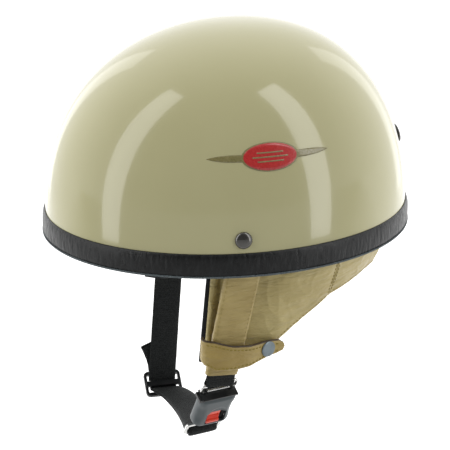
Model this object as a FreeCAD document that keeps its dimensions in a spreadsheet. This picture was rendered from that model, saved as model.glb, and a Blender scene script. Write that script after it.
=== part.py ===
import FreeCAD, Part
import math
import os
import Sketcher

# Open face motorcycle helmet: a half shell with a leather neck curtain, ear flaps and a chin strap
# with a quick release buckle. Millimetres, +Z up, the helmet faces -Y and the wearer's left is +X.
# The origin is the centre of the head opening, on the plane of the rim trim's lower edge.

os.makedirs("parts", exist_ok=True)
doc = FreeCAD.newDocument("helmet")
Vector = FreeCAD.Vector

# ---------------------------------------------------------------- driving dimensions

DIMENSIONS = {
    # dome: half axes of the outer surface at its widest level, and the powers of its profile
    "half_width": 115.0, "half_length": 139.0, "dome_rise": 159.4, "widest_level": -5.0,
    "profile_power": 2.48, "roundness": 2.155, "rear_shift": 7.4, "shift_power": 3.96,
    # layers, from the outside in
    "shell_wall": 3.0, "layer_gap": 0.5, "foam_wall": 25.0, "comfort_wall": 8.0,
    "shell_low": 1.5, "foam_low": 9.0, "pad_low": 3.0, "pad_split": 60.0, "pad_top_gap": 4.0,
    # rim trim, a folded leather band over the shell's edge
    "trim_height": 15.5, "trim_proud": 1.6, "trim_floor": 1.2, "trim_lip": 8.5, "trim_gauge": 1.4,
    "skirt_low": 6.6, "skirt_high": 8.6,
    # soft goods
    "leather_gauge": 1.8, "lining_gauge": 4.0, "webbing_width": 23.0, "webbing_gauge": 1.3,
    "sleeve_width": 25.4, "sleeve_wall": 1.5, "tab_gauge": 2.0,
    # rivets and snaps
    "rivet_level": 25.0, "rivet_setback": -19.9, "rivet_cap": 12.4, "rivet_dome": 3.0,
    "rivet_shank": 4.0, "rivet_hole": 4.2, "snap_cap": 12.0, "keeper_cap": 15.0,
    # goggle keeper strap at the rear
    "keeper_width": 16.0, "keeper_low": 17.2, "keeper_flex": 27.0, "keeper_high": 66.0,
    "keeper_rivet_level": 22.0, "keeper_snap_level": 55.0,
    # quick release buckle
    "buckle_width": 29.0, "buckle_length": 34.0, "cover_rise": 6.2, "base_depth": 6.2,
    "buckle_wall": 2.0, "mouth_wall": 3.0, "tongue_half": 8.5, "tongue_gauge": 1.8,
    "button_half": 5.6, "ring_wire": 2.2, "ring_half": 14.0, "tongue_offset": -2.0,
    # chin strap
    "slider_width": 31.0, "slider_height": 23.0, "slider_gauge": 3.4, "slider_bar": 3.2,
}

sizes = doc.addObject("Spreadsheet::Sheet", "Sizes")
for row, (alias, number) in enumerate(DIMENSIONS.items(), start=1):
    sizes.set(f"A{row}", alias)
    sizes.set(f"B{row}", str(number))
    sizes.setAlias(f"B{row}", alias)
doc.recompute()


def size(alias):
    """The value of one cell, for the shapes that Part's own functions make."""
    return float(getattr(sizes, alias))


nodes = []


def keep(piece, label):
    """Name a finished sub-part: its label is its file's name."""
    piece.Label = label
    nodes.append(piece)
    return piece


def feature(label, shape, placement=None):
    piece = doc.addObject("Part::Feature", label)
    piece.Shape = shape
    if placement:
        piece.Placement = placement
    return piece


def boolean(kind, label, base, tool):
    piece = doc.addObject(f"Part::{kind}", label)
    piece.Base = base
    piece.Tool = tool
    return piece


def mirrored(label, source):
    """The same piece on the other side of the helmet."""
    twin = doc.addObject("Part::Mirroring", label)
    twin.Source = source
    twin.Normal = Vector(1, 0, 0)
    return twin


# ---------------------------------------------------------------- the dome and its layers

CROWN_STEPS = [12, 24, 36, 48, 58, 68, 76, 83]
BAND_STEPS = 4


def ellipse(label, inset, height):
    """The dome's section at a height, both given as expressions."""
    level = f"(({height} - Sizes.widest_level) / (Sizes.dome_rise - {inset}))"
    radius = f"(1 - {level} ^ Sizes.profile_power) ^ (1 / Sizes.roundness)"
    ring = doc.addObject("Part::Ellipse", label)
    ring.setExpression("MajorRadius", f"(Sizes.half_length - {inset}) * {radius}")
    ring.setExpression("MinorRadius", f"(Sizes.half_width - {inset}) * {radius}")
    ring.Placement = FreeCAD.Placement(Vector(), FreeCAD.Rotation(Vector(0, 0, 1), 90))
    ring.setExpression("Placement.Base.y", f"Sizes.rear_shift * {level} ^ Sizes.shift_power")
    ring.setExpression("Placement.Base.z", height)
    return ring


def loft(label, sections):
    skin = doc.addObject("Part::Loft", label)
    skin.Sections = sections
    skin.Solid = True
    return skin


def dome(label, inset, low):
    """A closed dome `inset` inside the outer surface, flat at the height `low`."""
    top = f"(Sizes.widest_level + Sizes.dome_rise - {inset})"
    sections = [ellipse(f"{label}_0", inset, low)]
    for step, angle in enumerate(CROWN_STEPS, start=1):
        share = math.sin(math.radians(angle))
        height = f"({low} + ({top} - {low}) * {share:.5f})"
        sections.append(ellipse(f"{label}_{step}", inset, height))
    crown = doc.addObject("Part::Vertex", f"{label}_crown")
    crown.setExpression("Z", top)
    crown.setExpression("Y", "Sizes.rear_shift")
    return loft(label, sections + [crown])


def band(label, inset, low, high):
    """A plug of the dome's plan between two heights."""
    heights = [f"({low} + ({high} - {low}) * {i / BAND_STEPS})" for i in range(BAND_STEPS + 1)]
    return loft(label, [ellipse(f"{label}_{i}", inset, h) for i, h in enumerate(heights)])


def surface_x(offset_y, height, inset=0.0):
    """Half width of the dome at one place, for what is fastened to it."""
    level = (height - size("widest_level")) / (size("dome_rise") - inset)
    radius = (1 - level ** size("profile_power")) ** (1 / size("roundness"))
    along = offset_y - size("rear_shift") * level ** size("shift_power")
    half_length = (size("half_length") - inset) * radius
    return (size("half_width") - inset) * radius * math.sqrt(1 - (along / half_length) ** 2)


def rear_y(height, inset=0.0):
    """How far back the dome reaches at a height."""
    level = (height - size("widest_level")) / (size("dome_rise") - inset)
    radius = (1 - level ** size("profile_power")) ** (1 / size("roundness"))
    return (size("half_length") - inset) * radius + size("rear_shift") * level ** size("shift_power")


def axis_placement(origin, direction):
    """Place a piece with its own +Z along a direction."""
    return FreeCAD.Placement(origin, FreeCAD.Rotation(Vector(0, 0, 1), direction))


def side_normal(step=0.5):
    """Outward normal of the shell at the side rivet."""
    y, z = size("rivet_setback"), size("rivet_level")
    across = (surface_x(y + step, z) - surface_x(y - step, z)) / (2 * step)
    upward = (surface_x(y, z + step) - surface_x(y, z - step)) / (2 * step)
    return Vector(1, -across, -upward).normalize()


RIVET_AT = Vector(surface_x(size("rivet_setback"), size("rivet_level")),
                  size("rivet_setback"), size("rivet_level"))
KEEPER_RIVET_AT = Vector(0, rear_y(size("keeper_rivet_level")), size("keeper_rivet_level"))
KEEPER_SNAP_AT = Vector(0, rear_y(size("keeper_snap_level")), size("keeper_snap_level"))


def rear_normal(height, step=0.5):
    slope = (rear_y(height + step) - rear_y(height - step)) / (2 * step)
    return Vector(0, 1, -slope).normalize()


def drill(label, origin, direction, radius, length=20.0):
    """A drill held square to the shell, as long inside as outside."""
    tool = doc.addObject("Part::Cylinder", label)
    tool.setExpression("Radius", radius)
    tool.Height = length
    tool.Placement = axis_placement(origin - direction * (length / 2), direction)
    return tool


side_drill = drill("side_drill", RIVET_AT, side_normal(), "Sizes.rivet_hole / 2")
far_drill = mirrored("far_drill", side_drill)
keeper_drill = drill("keeper_drill", KEEPER_RIVET_AT,
                     rear_normal(size("keeper_rivet_level")), "Sizes.rivet_hole / 2")
stud_drill = drill("stud_drill", KEEPER_SNAP_AT,
                   rear_normal(size("keeper_snap_level")), "Sizes.rivet_hole / 2")
drills = doc.addObject("Part::Compound", "shell_drills")
drills.Links = [side_drill, far_drill, keeper_drill, stud_drill]

shell_walls = boolean("Cut", "shell_walls", dome("shell_outside", "0", "Sizes.shell_low"),
                      dome("shell_inside", "Sizes.shell_wall", "(Sizes.shell_low - 1)"))
shell = keep(boolean("Cut", "shell", shell_walls, drills), "outer_shell")

# Channels in the foam and the skirt for the two side straps.
channel = doc.addObject("Part::Box", "strap_channel")
channel.setExpression("Width", "Sizes.webbing_width + 4")
channel.Length = 20
channel.Height = 36
channel.setExpression("Placement.Base.x", "Sizes.half_width - 12")
channel.setExpression("Placement.Base.y", "Sizes.rivet_setback - Sizes.webbing_width / 2 - 2")
channel.setExpression("Placement.Base.z", "Sizes.skirt_low - 1")
channels = doc.addObject("Part::Compound", "strap_channels")
channels.Links = [channel, mirrored("far_channel", channel)]

# Shallow pocket behind the keeper's rivet and stud tails.
tail_pocket = doc.addObject("Part::Box", "tail_pocket")
tail_pocket.Length = 12
tail_pocket.Width = 12
tail_pocket.Height = 52
tail_pocket.Placement.Base = Vector(-6, rear_y(size("keeper_snap_level")) - 8.5, 14)
foam_tools = doc.addObject("Part::Compound", "foam_tools")
foam_tools.Links = [channels, tail_pocket]

FOAM_OUT = "(Sizes.shell_wall + Sizes.layer_gap)"
FOAM_IN = "(Sizes.shell_wall + Sizes.foam_wall)"
PAD_OUT = "(Sizes.shell_wall + Sizes.foam_wall + Sizes.layer_gap)"
PAD_IN = "(Sizes.shell_wall + Sizes.foam_wall + Sizes.comfort_wall)"
foam_walls = boolean("Cut", "foam_walls", dome("foam_outside", FOAM_OUT, "Sizes.foam_low"),
                     dome("foam_inside", FOAM_IN, "(Sizes.foam_low - 1)"))
keep(boolean("Cut", "foam", foam_walls, foam_tools), "impact_liner")

keep(boolean("Cut", "headband", band("headband_out", PAD_OUT, "Sizes.pad_low", "Sizes.pad_split"),
             band("headband_in", PAD_IN, "(Sizes.pad_low - 1)", "(Sizes.pad_split + 1)")),
     "headband_pad")
keep(boolean("Cut", "crown", dome("crown_out", PAD_OUT, "(Sizes.pad_split + Sizes.pad_top_gap)"),
             dome("crown_in", PAD_IN, "(Sizes.pad_split + Sizes.pad_top_gap - 1)")), "crown_pad")

skirt_ring = boolean("Cut", "skirt_ring", band("skirt_out", "5", "Sizes.skirt_low",
                                               "Sizes.skirt_high"),
                     band("skirt_in", FOAM_IN, "(Sizes.skirt_low - 1)", "(Sizes.skirt_high + 1)"))
keep(boolean("Cut", "skirt", skirt_ring, channels), "liner_skirt")

# Rim trim: outer face, floor and inner lip round the shell's edge.
LIP_IN = "(Sizes.shell_wall + Sizes.trim_gauge + 0.2)"
LIP_OUT = "(Sizes.shell_wall + 0.2)"
trim_wrap = boolean("Cut", "trim_wrap",
                    band("trim_block", "(0 - Sizes.trim_proud)", "0", "Sizes.trim_height"),
                    band("trim_bore", LIP_IN, "(-1)", "(Sizes.trim_height + 1)"))
trim_outer = boolean("Cut", "trim_outer", trim_wrap,
                     band("trim_seat", "0.2", "Sizes.trim_floor", "(Sizes.trim_height + 2)"))
trim_lip = boolean("Cut", "trim_lip_ring", band("lip_block", LIP_OUT, "0", "Sizes.trim_lip"),
                   band("lip_bore", LIP_IN, "(-2)", "(Sizes.trim_lip + 2)"))
trim_fold = boolean("Fuse", "trim_fold", trim_outer, trim_lip)
keep(boolean("Cut", "trim", trim_fold, shell), "edge_trim")

# ---------------------------------------------------------------- badges on the shell's sides


def badge_face(outline):
    wire = Part.makePolygon(outline + [outline[0]])
    return Part.Face(wire).extrude(Vector(60, 0, 0))


BADGE_CENTRE = (2.5, 81.5)
BADGE_HALF = (21.0, 9.6)
STRIPE_REACH = 45.0
STRIPE_HALF = 3.4


def badge_outline(points=36):
    """An oval with a pinstripe tapering to a point at each end, in Y and Z."""
    outline = []
    root = math.asin(STRIPE_HALF / BADGE_HALF[1])
    for side in (1, -1):
        outline.append((side * STRIPE_REACH, 0.0))
        for step in range(points // 2 + 1):
            turn = root + (math.pi - 2 * root) * step / (points // 2)
            turn = turn if side > 0 else turn + math.pi
            outline.append((BADGE_HALF[0] * math.cos(turn), BADGE_HALF[1] * math.sin(turn)))
    return [Vector(60, BADGE_CENTRE[0] + y, BADGE_CENTRE[1] + z) for y, z in outline]


badge_sheet = boolean("Cut", "badge_sheet", dome("badge_outside", "(-0.4)", "40"),
                      dome("badge_inside", "(-0.05)", "39"))
badge_block = feature("badge_block", badge_face(badge_outline()))
badge_left = boolean("Common", "badge", badge_sheet, badge_block)
keep(badge_left, "badge_left")
keep(mirrored("far_badge", badge_left), "badge_right")

# ---------------------------------------------------------------- turned fasteners


def turned(label, profile):
    """A revolved piece on its own +Z axis; the profile lists (radius, height) points."""
    body = doc.addObject("PartDesign::Body", label + "_body")
    sketch = body.newObject("Sketcher::SketchObject", label + "_profile")
    plane = [f for f in body.Origin.OriginFeatures if f.Role == "XZ_Plane"][0]
    sketch.AttachmentSupport = [(plane, "")]
    sketch.MapMode = "FlatFace"
    count = len(profile)
    for i in range(count):
        start, end = Vector(*profile[i], 0), Vector(*profile[(i + 1) % count], 0)
        sketch.addGeometry(Part.LineSegment(start, end))
    for i in range(count):
        sketch.addConstraint(Sketcher.Constraint("Coincident", i, 2, (i + 1) % count, 1))
    turn = body.newObject("PartDesign::Revolution", label + "_turn")
    turn.Profile = sketch
    turn.ReferenceAxis = (sketch, ["V_Axis"])
    turn.Angle = 360
    return body


def domed_cap(radius, rise, low=0.0, steps=5):
    """Profile points of a domed cap, from its rim to the axis."""
    points = []
    for step in range(steps + 1):
        turn = math.pi / 2 * step / steps
        points.append((radius * math.cos(turn) if step < steps else 0.0,
                       low + rise * math.sin(turn)))
    return points


def rivet_profile(grip):
    """Dome, shank and peened tail, with the shell's outer face at height 0."""
    cap, shank = size("rivet_cap") / 2, size("rivet_shank") / 2
    tail, tail_rise = 3.6, 1.2
    return (domed_cap(cap, size("rivet_dome") - 0.6, 0.65)
            + [(0.0, -grip - tail_rise), (tail, -grip - tail_rise), (tail, -grip),
               (shank, -grip), (shank, 0.05), (cap, 0.05)])


STRAP_INSET = size("shell_wall") + 0.8 + size("webbing_gauge") / 2
WASHER_GAUGE = 1.1
WASHER_INSET = STRAP_INSET + size("webbing_gauge") / 2 + WASHER_GAUGE + 0.4
STRAP_GRIP = WASHER_INSET + 0.05
rivet_left = turned("side_rivet", rivet_profile(STRAP_GRIP))
rivet_left.Placement = axis_placement(RIVET_AT, side_normal())
strap_rivets = doc.addObject("Part::Compound", "side_rivets")
strap_rivets.Links = [rivet_left, mirrored("far_rivet", rivet_left)]
keep(strap_rivets, "strap_rivets")


def washer(label, outer, thickness):
    ring = turned(label, [(size("rivet_hole") / 2, 0), (outer, 0), (outer, thickness),
                          (size("rivet_hole") / 2, thickness)])
    return ring


washer_left = washer("side_washer", 5.0, WASHER_GAUGE)
washer_left.Placement = axis_placement(RIVET_AT - side_normal() * WASHER_INSET, side_normal())
washers = doc.addObject("Part::Compound", "side_washers")
washers.Links = [washer_left, mirrored("far_washer", washer_left)]
keep(washers, "rivet_washers")

# ---------------------------------------------------------------- straps as lofted strips


def strip(stations, width, gauge):
    """A flat strip: a rectangle square to the path at each (point, across) station."""
    points = [Vector(*point) for point, across in stations]
    wires = []
    for i, (point, across) in enumerate(stations):
        before, after = points[max(i - 1, 0)], points[min(i + 1, len(points) - 1)]
        run_in, run_out = points[i] - before, after - points[i]
        along = Vector()
        for run in (run_in, run_out):
            if run.Length > 0:
                along += run.normalize()
        along.normalize()
        side = Vector(*across)
        side = (side - along * side.dot(along)).normalize()
        face = side.cross(along)
        half_w, half_g = side * (width / 2), face * (gauge / 2)
        corners = [points[i] + half_w + half_g, points[i] - half_w + half_g,
                   points[i] - half_w - half_g, points[i] + half_w - half_g]
        wires.append(Part.makePolygon(corners + [corners[0]]))
    return Part.makeLoft(wires, True, True)


def blend(start, end, share):
    return start + (end - start) * share


# The buckle's own frame: x across the strap to the rear, y up the strap, z outward.
BUCKLE_AT = Vector(95.5, -33.8, -99.7)
BUCKLE_TURN = 11.0
BUCKLE_LEAN = 31.0
BUCKLE = FreeCAD.Placement(BUCKLE_AT, FreeCAD.Rotation(Vector(0, 0, 1), BUCKLE_TURN)
                           * FreeCAD.Rotation(Vector(0, 1, 0), BUCKLE_LEAN)
                           * FreeCAD.Rotation(Vector(0, 1, 0), Vector(0, 0, 1), Vector(1, 0, 0)))


def in_buckle(x, y, z):
    return BUCKLE.multVec(Vector(x, y, z))


RING_TOP = Vector(0.0, 10.4, -1.8)
RING_FOOT = Vector(0.0, 2.5, -1.8)
EYE_OFFSET = -0.9
EYE = BUCKLE.multVec(RING_TOP + Vector(EYE_OFFSET, 0, 0))
ACROSS_EYE = BUCKLE.Rotation.multVec(Vector(1, 0, 0))
ACROSS_RIM = Vector(0.06, 1, 0)

ACROSS_RIVET = Vector(0, 0, 1).cross(side_normal()).normalize()
STRAP_IN = [Vector(surface_x(size("rivet_setback"), z) - inset, size("rivet_setback"), z)
            for z, inset in ((37.0, STRAP_INSET), (19.0, STRAP_INSET), (10.0, STRAP_INSET + 2.4))]
STRAP_RIM = Vector(106.9, -18.4, -1.5)
DOUBLE_SHARE = 0.62
STRAP_DOUBLE = blend(STRAP_RIM, EYE, DOUBLE_SHARE)
run = (EYE - STRAP_RIM).normalize()
side = (ACROSS_EYE - run * ACROSS_EYE.dot(run)).normalize()
OUTWARD = run.cross(side).normalize()


def strap_across(share):
    """The near strap's width direction, which turns towards the buckle's on the way down."""
    across = blend(ACROSS_RIM, ACROSS_EYE, share ** 2)
    return (across - run * across.dot(run)).normalize()


def strap_face(share):
    return run.cross(strap_across(share)).normalize()


def strap_left_shape():
    """Down from the rivet, round the ring's bar and back up inside the sleeve."""
    gauge = size("webbing_gauge")
    layer = gauge / 2 + 0.05
    eye_radius = size("ring_wire") / 2 + 0.25 + gauge / 2
    double = strap_across(DOUBLE_SHARE)
    stations = [(STRAP_IN[0], ACROSS_RIVET), (STRAP_IN[1], ACROSS_RIVET),
                (STRAP_IN[2], ACROSS_RIVET), (STRAP_RIM + strap_face(0) * layer, strap_across(0)),
                (blend(STRAP_RIM, EYE, 0.3) + strap_face(0.3) * layer, strap_across(0.3)),
                (STRAP_DOUBLE + strap_face(DOUBLE_SHARE) * layer, double),
                (EYE - run * 8 + OUTWARD * layer, side)]
    for angle in range(0, 181, 30):
        turn = math.radians(angle)
        stations.append((EYE + OUTWARD * (eye_radius * math.cos(turn))
                         + run * (eye_radius * math.sin(turn)), side))
    stations += [(EYE - run * 8 - OUTWARD * layer, side),
                 (STRAP_DOUBLE - strap_face(DOUBLE_SHARE) * layer, double)]
    return strip(stations, size("webbing_width"), gauge)


rivet_bore = Part.makeCylinder(size("rivet_hole") / 2, 20, RIVET_AT - side_normal() * 10, side_normal())
keep(feature("left_webbing", strap_left_shape().cut(rivet_bore)), "strap_left_webbing")

SLEEVE_SHARES = (0.014, 0.3, DOUBLE_SHARE)
SLEEVE_END = (EYE - run * 8, side)


def sleeve_shape():
    """Leather round both layers, open at its ends."""
    stations = [(blend(STRAP_RIM, EYE, share), strap_across(share)) for share in SLEEVE_SHARES]
    stations.append(SLEEVE_END)
    bore = [(stations[0][0] - run * 2, stations[0][1])] + stations[1:-1]
    bore.append((stations[-1][0] + run * 2, stations[-1][1]))
    hollow = 2 * size("webbing_gauge") + 0.5
    outside = strip(stations, size("sleeve_width"), hollow + 2 * size("sleeve_wall"))
    return outside.cut(strip(bore, size("webbing_width") + 0.5, hollow))


keep(feature("left_sleeve", sleeve_shape()), "leather_sleeve_left")

# ---------------------------------------------------------------- chin strap, far side

SLIDER_AT = Vector(-86.0, -31.0, -177.0)
SLIDER_TILT = 53.0
SLIDER = FreeCAD.Placement(SLIDER_AT, FreeCAD.Rotation(Vector(0, 0, 1), -3.0)
                           * FreeCAD.Rotation(Vector(0, 1, 0), -SLIDER_TILT)
                           * FreeCAD.Rotation(Vector(0, 1, 0), Vector(0, 0, 1), Vector(1, 0, 0)))


def in_slider(x, y, z):
    return SLIDER.multVec(Vector(x, y, z))


# Slider frame: x across, y up its own plane, z towards the wearer's face.
ENTRY = in_slider(0, 6.2, 0.9)
STRAP_FAR = [Vector(-point.x, point.y, point.z) for point in STRAP_IN]
FAR_RIM = Vector(-107.2, -18.2, -3.0)
FAR_KINK = Vector(-101.5, -21.0, -78.0)
FAR_ACROSS = Vector(-ACROSS_RIVET.x, ACROSS_RIVET.y, 0)
far_run = (ENTRY - FAR_KINK).normalize()
STRAP_TRAVEL = far_run * -1
far_side = (Vector(0, 1, -0.05) - far_run * Vector(0, 1, -0.05).dot(far_run)).normalize()
far_bore = Part.makeCylinder(size("rivet_hole") / 2, 20,
                             Vector(-RIVET_AT.x, RIVET_AT.y, RIVET_AT.z)
                             + Vector(side_normal().x, -side_normal().y, -side_normal().z) * 10,
                             Vector(-side_normal().x, side_normal().y, side_normal().z))
STRAP_END = ENTRY + far_run * 3.0
far_stations = [(point, FAR_ACROSS) for point in STRAP_FAR] + [(FAR_RIM, Vector(-0.06, 1, 0))]
far_stations += [(point, far_side) for point in (FAR_KINK, ENTRY, STRAP_END)]
right_strap = strip(far_stations, size("webbing_width"), size("webbing_gauge"))
keep(feature("right_webbing", right_strap.cut(far_bore)), "strap_right_webbing")

# ---------------------------------------------------------------- bodies made of pads and pockets


def plate_sketch(body, label, height, corners):
    """A rectangle on the body's XY plane at a height; corners are four expressions."""
    sketch = body.newObject("Sketcher::SketchObject", label)
    plane = [f for f in body.Origin.OriginFeatures if f.Role == "XY_Plane"][0]
    sketch.AttachmentSupport = [(plane, "")]
    sketch.MapMode = "FlatFace"
    sketch.setExpression("AttachmentOffset.Base.z", height)
    guess = [(-1, -1), (1, -1), (1, 1), (-1, 1)]
    for i in range(4):
        sketch.addGeometry(Part.LineSegment(Vector(*guess[i], 0), Vector(*guess[(i + 1) % 4], 0)))
    for i in range(4):
        sketch.addConstraint(Sketcher.Constraint("Coincident", i, 2, (i + 1) % 4, 1))
        sketch.addConstraint(Sketcher.Constraint("Horizontal" if i % 2 == 0 else "Vertical", i))
    places = [("DistanceX", 0, "low_x"), ("DistanceY", 0, "low_y"),
              ("DistanceX", 2, "high_x"), ("DistanceY", 2, "high_y")]
    for (kind, edge, name), expression in zip(places, corners):
        value = -1.0 if name.startswith("low") else 1.0
        index = sketch.addConstraint(Sketcher.Constraint(kind, -1, 1, edge, 1, value))
        sketch.renameConstraint(index, name)
        sketch.setExpression(f"Constraints.{name}", expression)
    return sketch


def slab(body, label, corners, low, high):
    """Add a rectangular block between two heights."""
    pad = body.newObject("PartDesign::Pad", label)
    pad.Profile = plate_sketch(body, label + "_outline", low, corners)
    pad.setExpression("Length", f"({high}) - ({low})")
    return pad


def recess(body, label, corners, low, high):
    """Take a rectangular block away; the cut runs down from `high`."""
    pocket = body.newObject("PartDesign::Pocket", label)
    pocket.Profile = plate_sketch(body, label + "_outline", high, corners)
    pocket.setExpression("Length", f"({high}) - ({low})")
    return pocket


def round_edges(body, label, radius, wanted):
    """Fillet the edges of the body's last feature that `wanted` picks by their middle and line."""
    doc.recompute()
    base = body.Tip
    names = []
    for i, edge in enumerate(base.Shape.Edges, start=1):
        start, end = edge.firstVertex().Point, edge.lastVertex().Point
        if wanted((start + end) * 0.5, end - start):
            names.append(f"Edge{i}")
    fillet = body.newObject("PartDesign::Fillet", label)
    fillet.Base = (base, names)
    fillet.Radius = radius
    return fillet


def new_body(label, placement):
    body = doc.addObject("PartDesign::Body", label + "_body")
    body.Placement = placement
    return body


HALF = "Sizes.buckle_width / 2"
LENGTH = "Sizes.buckle_length"
CAVITY = f"{HALF} - Sizes.buckle_wall"
CAVITY_LOW = f"0 - {LENGTH} + Sizes.mouth_wall"


def tall(line):
    return abs(line.z) > 1 and abs(line.x) < 0.1 and abs(line.y) < 0.1


cover = new_body("cover", BUCKLE)
slab(cover, "cover_block", [f"0 - {HALF}", f"0 - {LENGTH}", HALF, "0"], "0.05", "Sizes.cover_rise")
round_edges(cover, "cover_corners", 5.0, lambda middle, line: tall(line) and middle.y < -20)
round_edges(cover, "cover_crest", 2.2, lambda middle, line: middle.z > 6.0 and middle.y < -0.5)
recess(cover, "cover_hollow", [f"0 - {CAVITY}", CAVITY_LOW, CAVITY, "1"], "0", "4.2")
recess(cover, "button_window", ["-6.4", "-30.6", "9.6", "-18.5"], "4", "Sizes.cover_rise + 1")
recess(cover, "tongue_mouth_top", ["-11", f"0 - {LENGTH} - 1", "7", CAVITY_LOW + " + 1"], "0", "1.15")
keep(cover, "buckle_cover")

base = new_body("base", BUCKLE)
slab(base, "base_block", [f"0 - {HALF}", f"0 - {LENGTH}", HALF, "0"], "0 - Sizes.base_depth", "-0.05")
round_edges(base, "base_corners", 5.0, lambda middle, line: tall(line) and middle.y < -20)
round_edges(base, "base_crest", 1.6, lambda middle, line: middle.z < -6.0 and middle.y < -0.5)
recess(base, "base_hollow", [f"0 - {CAVITY}", CAVITY_LOW, CAVITY, "1"], "-4.8", "0")
recess(base, "tongue_mouth_low", ["-11", f"0 - {LENGTH} - 1", "7", CAVITY_LOW + " + 1"], "-1.15", "0")
keep(base, "buckle_base")

end_cap = new_body("end_cap", BUCKLE)
slab(end_cap, "cap_plug", [f"0.15 - {CAVITY}", "-2.6", f"{CAVITY} - 0.15", "0"], "-4.6", "4")
slab(end_cap, "cap_face", [f"0 - {HALF} + 0.3", "0.05", f"{HALF} - 0.3", "1.2"], "-5.4", "5.4")
for number, (start, end) in enumerate(((-11.4, -9.4), (9.4, 11.4))):
    slab(end_cap, f"lug_{number}", [str(start), "1.1", str(end), "4.4"], "-3.6", "0")
lug_holes = doc.addObject("Part::Cylinder", "lug_holes")
lug_holes.setExpression("Radius", "Sizes.ring_wire / 2 + 0.15")
lug_holes.Height = 24
lug_holes.Placement = BUCKLE * FreeCAD.Placement(RING_FOOT - Vector(12, 0, 0),
                                                 FreeCAD.Rotation(Vector(0, 1, 0), 90))
keep(boolean("Cut", "bored_cap", end_cap, lug_holes), "buckle_end_cap")

frame_plate = new_body("frame_plate", BUCKLE)
slab(frame_plate, "plate", ["-9.5", "-30.6", "9.5", "-3"], "-4.7", "-3.9")
recess(frame_plate, "plate_window", ["-5", "-26", "5", "-20"], "-5", "-3")
keep(frame_plate, "buckle_frame_plate")

button = new_body("button", BUCKLE)
slab(button, "button_plate", ["0 - Sizes.button_half", "-30.4", "Sizes.button_half", "-14"], "2.3", "3.9")
slab(button, "button_lip", ["0 - Sizes.button_half", "-30.4", "Sizes.button_half", "-27.4"], "3.8", "6.4")
slab(button, "button_tread", ["0 - Sizes.button_half", "-27.6", "Sizes.button_half", "-23"], "3.8", "5.0")
keep(button, "release_button")

latch = new_body("latch", BUCKLE)
slab(latch, "latch_plate", ["-7", "-25", "7", "-14"], "-2.5", "-1.5")
slab(latch, "latch_tooth", ["-5", "-22", "1", "-19"], "-1.6", "-1.15")
keep(latch, "latch_pawl")

# Compression spring between the end cap and the button's upper end.
SPRING_RADIUS = 1.1
SPRING_WIRE = 0.25
coil = doc.addObject("Part::Helix", "spring_coil")
coil.Pitch = 1.25
coil.Height = 10.4
coil.Radius = SPRING_RADIUS
coil_end = doc.addObject("Part::Circle", "spring_section")
coil_end.Radius = SPRING_WIRE
coil_end.Placement = FreeCAD.Placement(Vector(SPRING_RADIUS, 0, 0),
                                       FreeCAD.Rotation(Vector(1, 0, 0), 90))
spring = doc.addObject("Part::Sweep", "spring")
spring.Sections = [coil_end]
spring.Spine = (coil, [])
spring.Solid = True
spring.Frenet = True
spring.Placement = BUCKLE * FreeCAD.Placement(Vector(0, -13.6, 2.6),
                                              FreeCAD.Rotation(Vector(1, 0, 0), -90))
keep(spring, "button_spring")

tongue = new_body("tongue", BUCKLE)
SLANT = "Sizes.tongue_offset"
slab(tongue, "tongue_blade",
     [f"{SLANT} - Sizes.tongue_half", "-37", f"{SLANT} + Sizes.tongue_half", "-12"],
     "-0.9", "-0.9 + Sizes.tongue_gauge")
slab(tongue, "tongue_bow", [f"{SLANT} - 15", "-48", f"{SLANT} + 15", "-36.6"],
     "-0.9", "-0.9 + Sizes.tongue_gauge")
recess(tongue, "latch_window", [f"{SLANT} - 3.6", "-22.6", f"{SLANT} + 3.6", "-18.4"], "-1.5", "1.5")
recess(tongue, "strap_slot", [f"{SLANT} - 12.4", "-44.8", f"{SLANT} + 12.4", "-39"], "-1.5", "1.5")
round_edges(tongue, "bow_corners", 2.4,
            lambda middle, line: tall(line) and abs(middle.x - size("tongue_offset")) > 14)
keep(tongue, "tongue_plate")


def ring_shape():
    """A rectangular wire ring with rounded corners."""
    radius, half = size("ring_wire") / 2, size("ring_half")
    corner = 2.5
    across = Vector(half, 0, 0)
    corners = [RING_FOOT - across, RING_TOP - across, RING_TOP + across, RING_FOOT + across]
    edges = []
    count = len(corners)
    for i in range(count):
        here, before, after = corners[i], corners[i - 1], corners[(i + 1) % count]
        back, ahead = (before - here).normalize(), (after - here).normalize()
        middle = here + (back + ahead) * (corner * (1 - math.sqrt(0.5)))
        edges.append(Part.Arc(here + back * corner, middle, here + ahead * corner).toShape())
        edges.append(Part.LineSegment(here + ahead * corner,
                                      after + (here - after).normalize() * corner).toShape())
    path = Part.Wire(edges)
    start = edges[0].Vertexes[0].Point
    tangent = edges[0].tangentAt(edges[0].FirstParameter)
    section = Part.Wire(Part.makeCircle(radius, start, tangent))
    return path.makePipeShell([section], True, True)


keep(feature("ring", ring_shape(), BUCKLE), "buckle_ring")

slider = new_body("slider", SLIDER)
SLIDER_HALF = "Sizes.slider_width / 2"
SLIDER_UP = "Sizes.slider_height / 2"
slab(slider, "slider_plate", [f"0 - {SLIDER_HALF}", f"0 - {SLIDER_UP}", SLIDER_HALF, SLIDER_UP],
     "0 - Sizes.slider_gauge / 2 - 1", "Sizes.slider_gauge / 2 - 1")
round_edges(slider, "slider_corners", 4.0, lambda middle, line: tall(line))
recess(slider, "slider_window",
       [f"0 - {SLIDER_HALF} + 2.4", f"0 - {SLIDER_UP} + Sizes.slider_bar",
        f"{SLIDER_HALF} - 2.4", f"{SLIDER_UP} - Sizes.slider_bar"], "-4", "4")
slab(slider, "slider_centre_bar", [f"0 - {SLIDER_HALF} + 1", "-3", f"{SLIDER_HALF} - 1", "1.6"],
     "Sizes.slider_gauge / 2 - 2.2", "Sizes.slider_gauge / 2 + 0.4")
keep(slider, "strap_slider")

doc.recompute()

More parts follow.
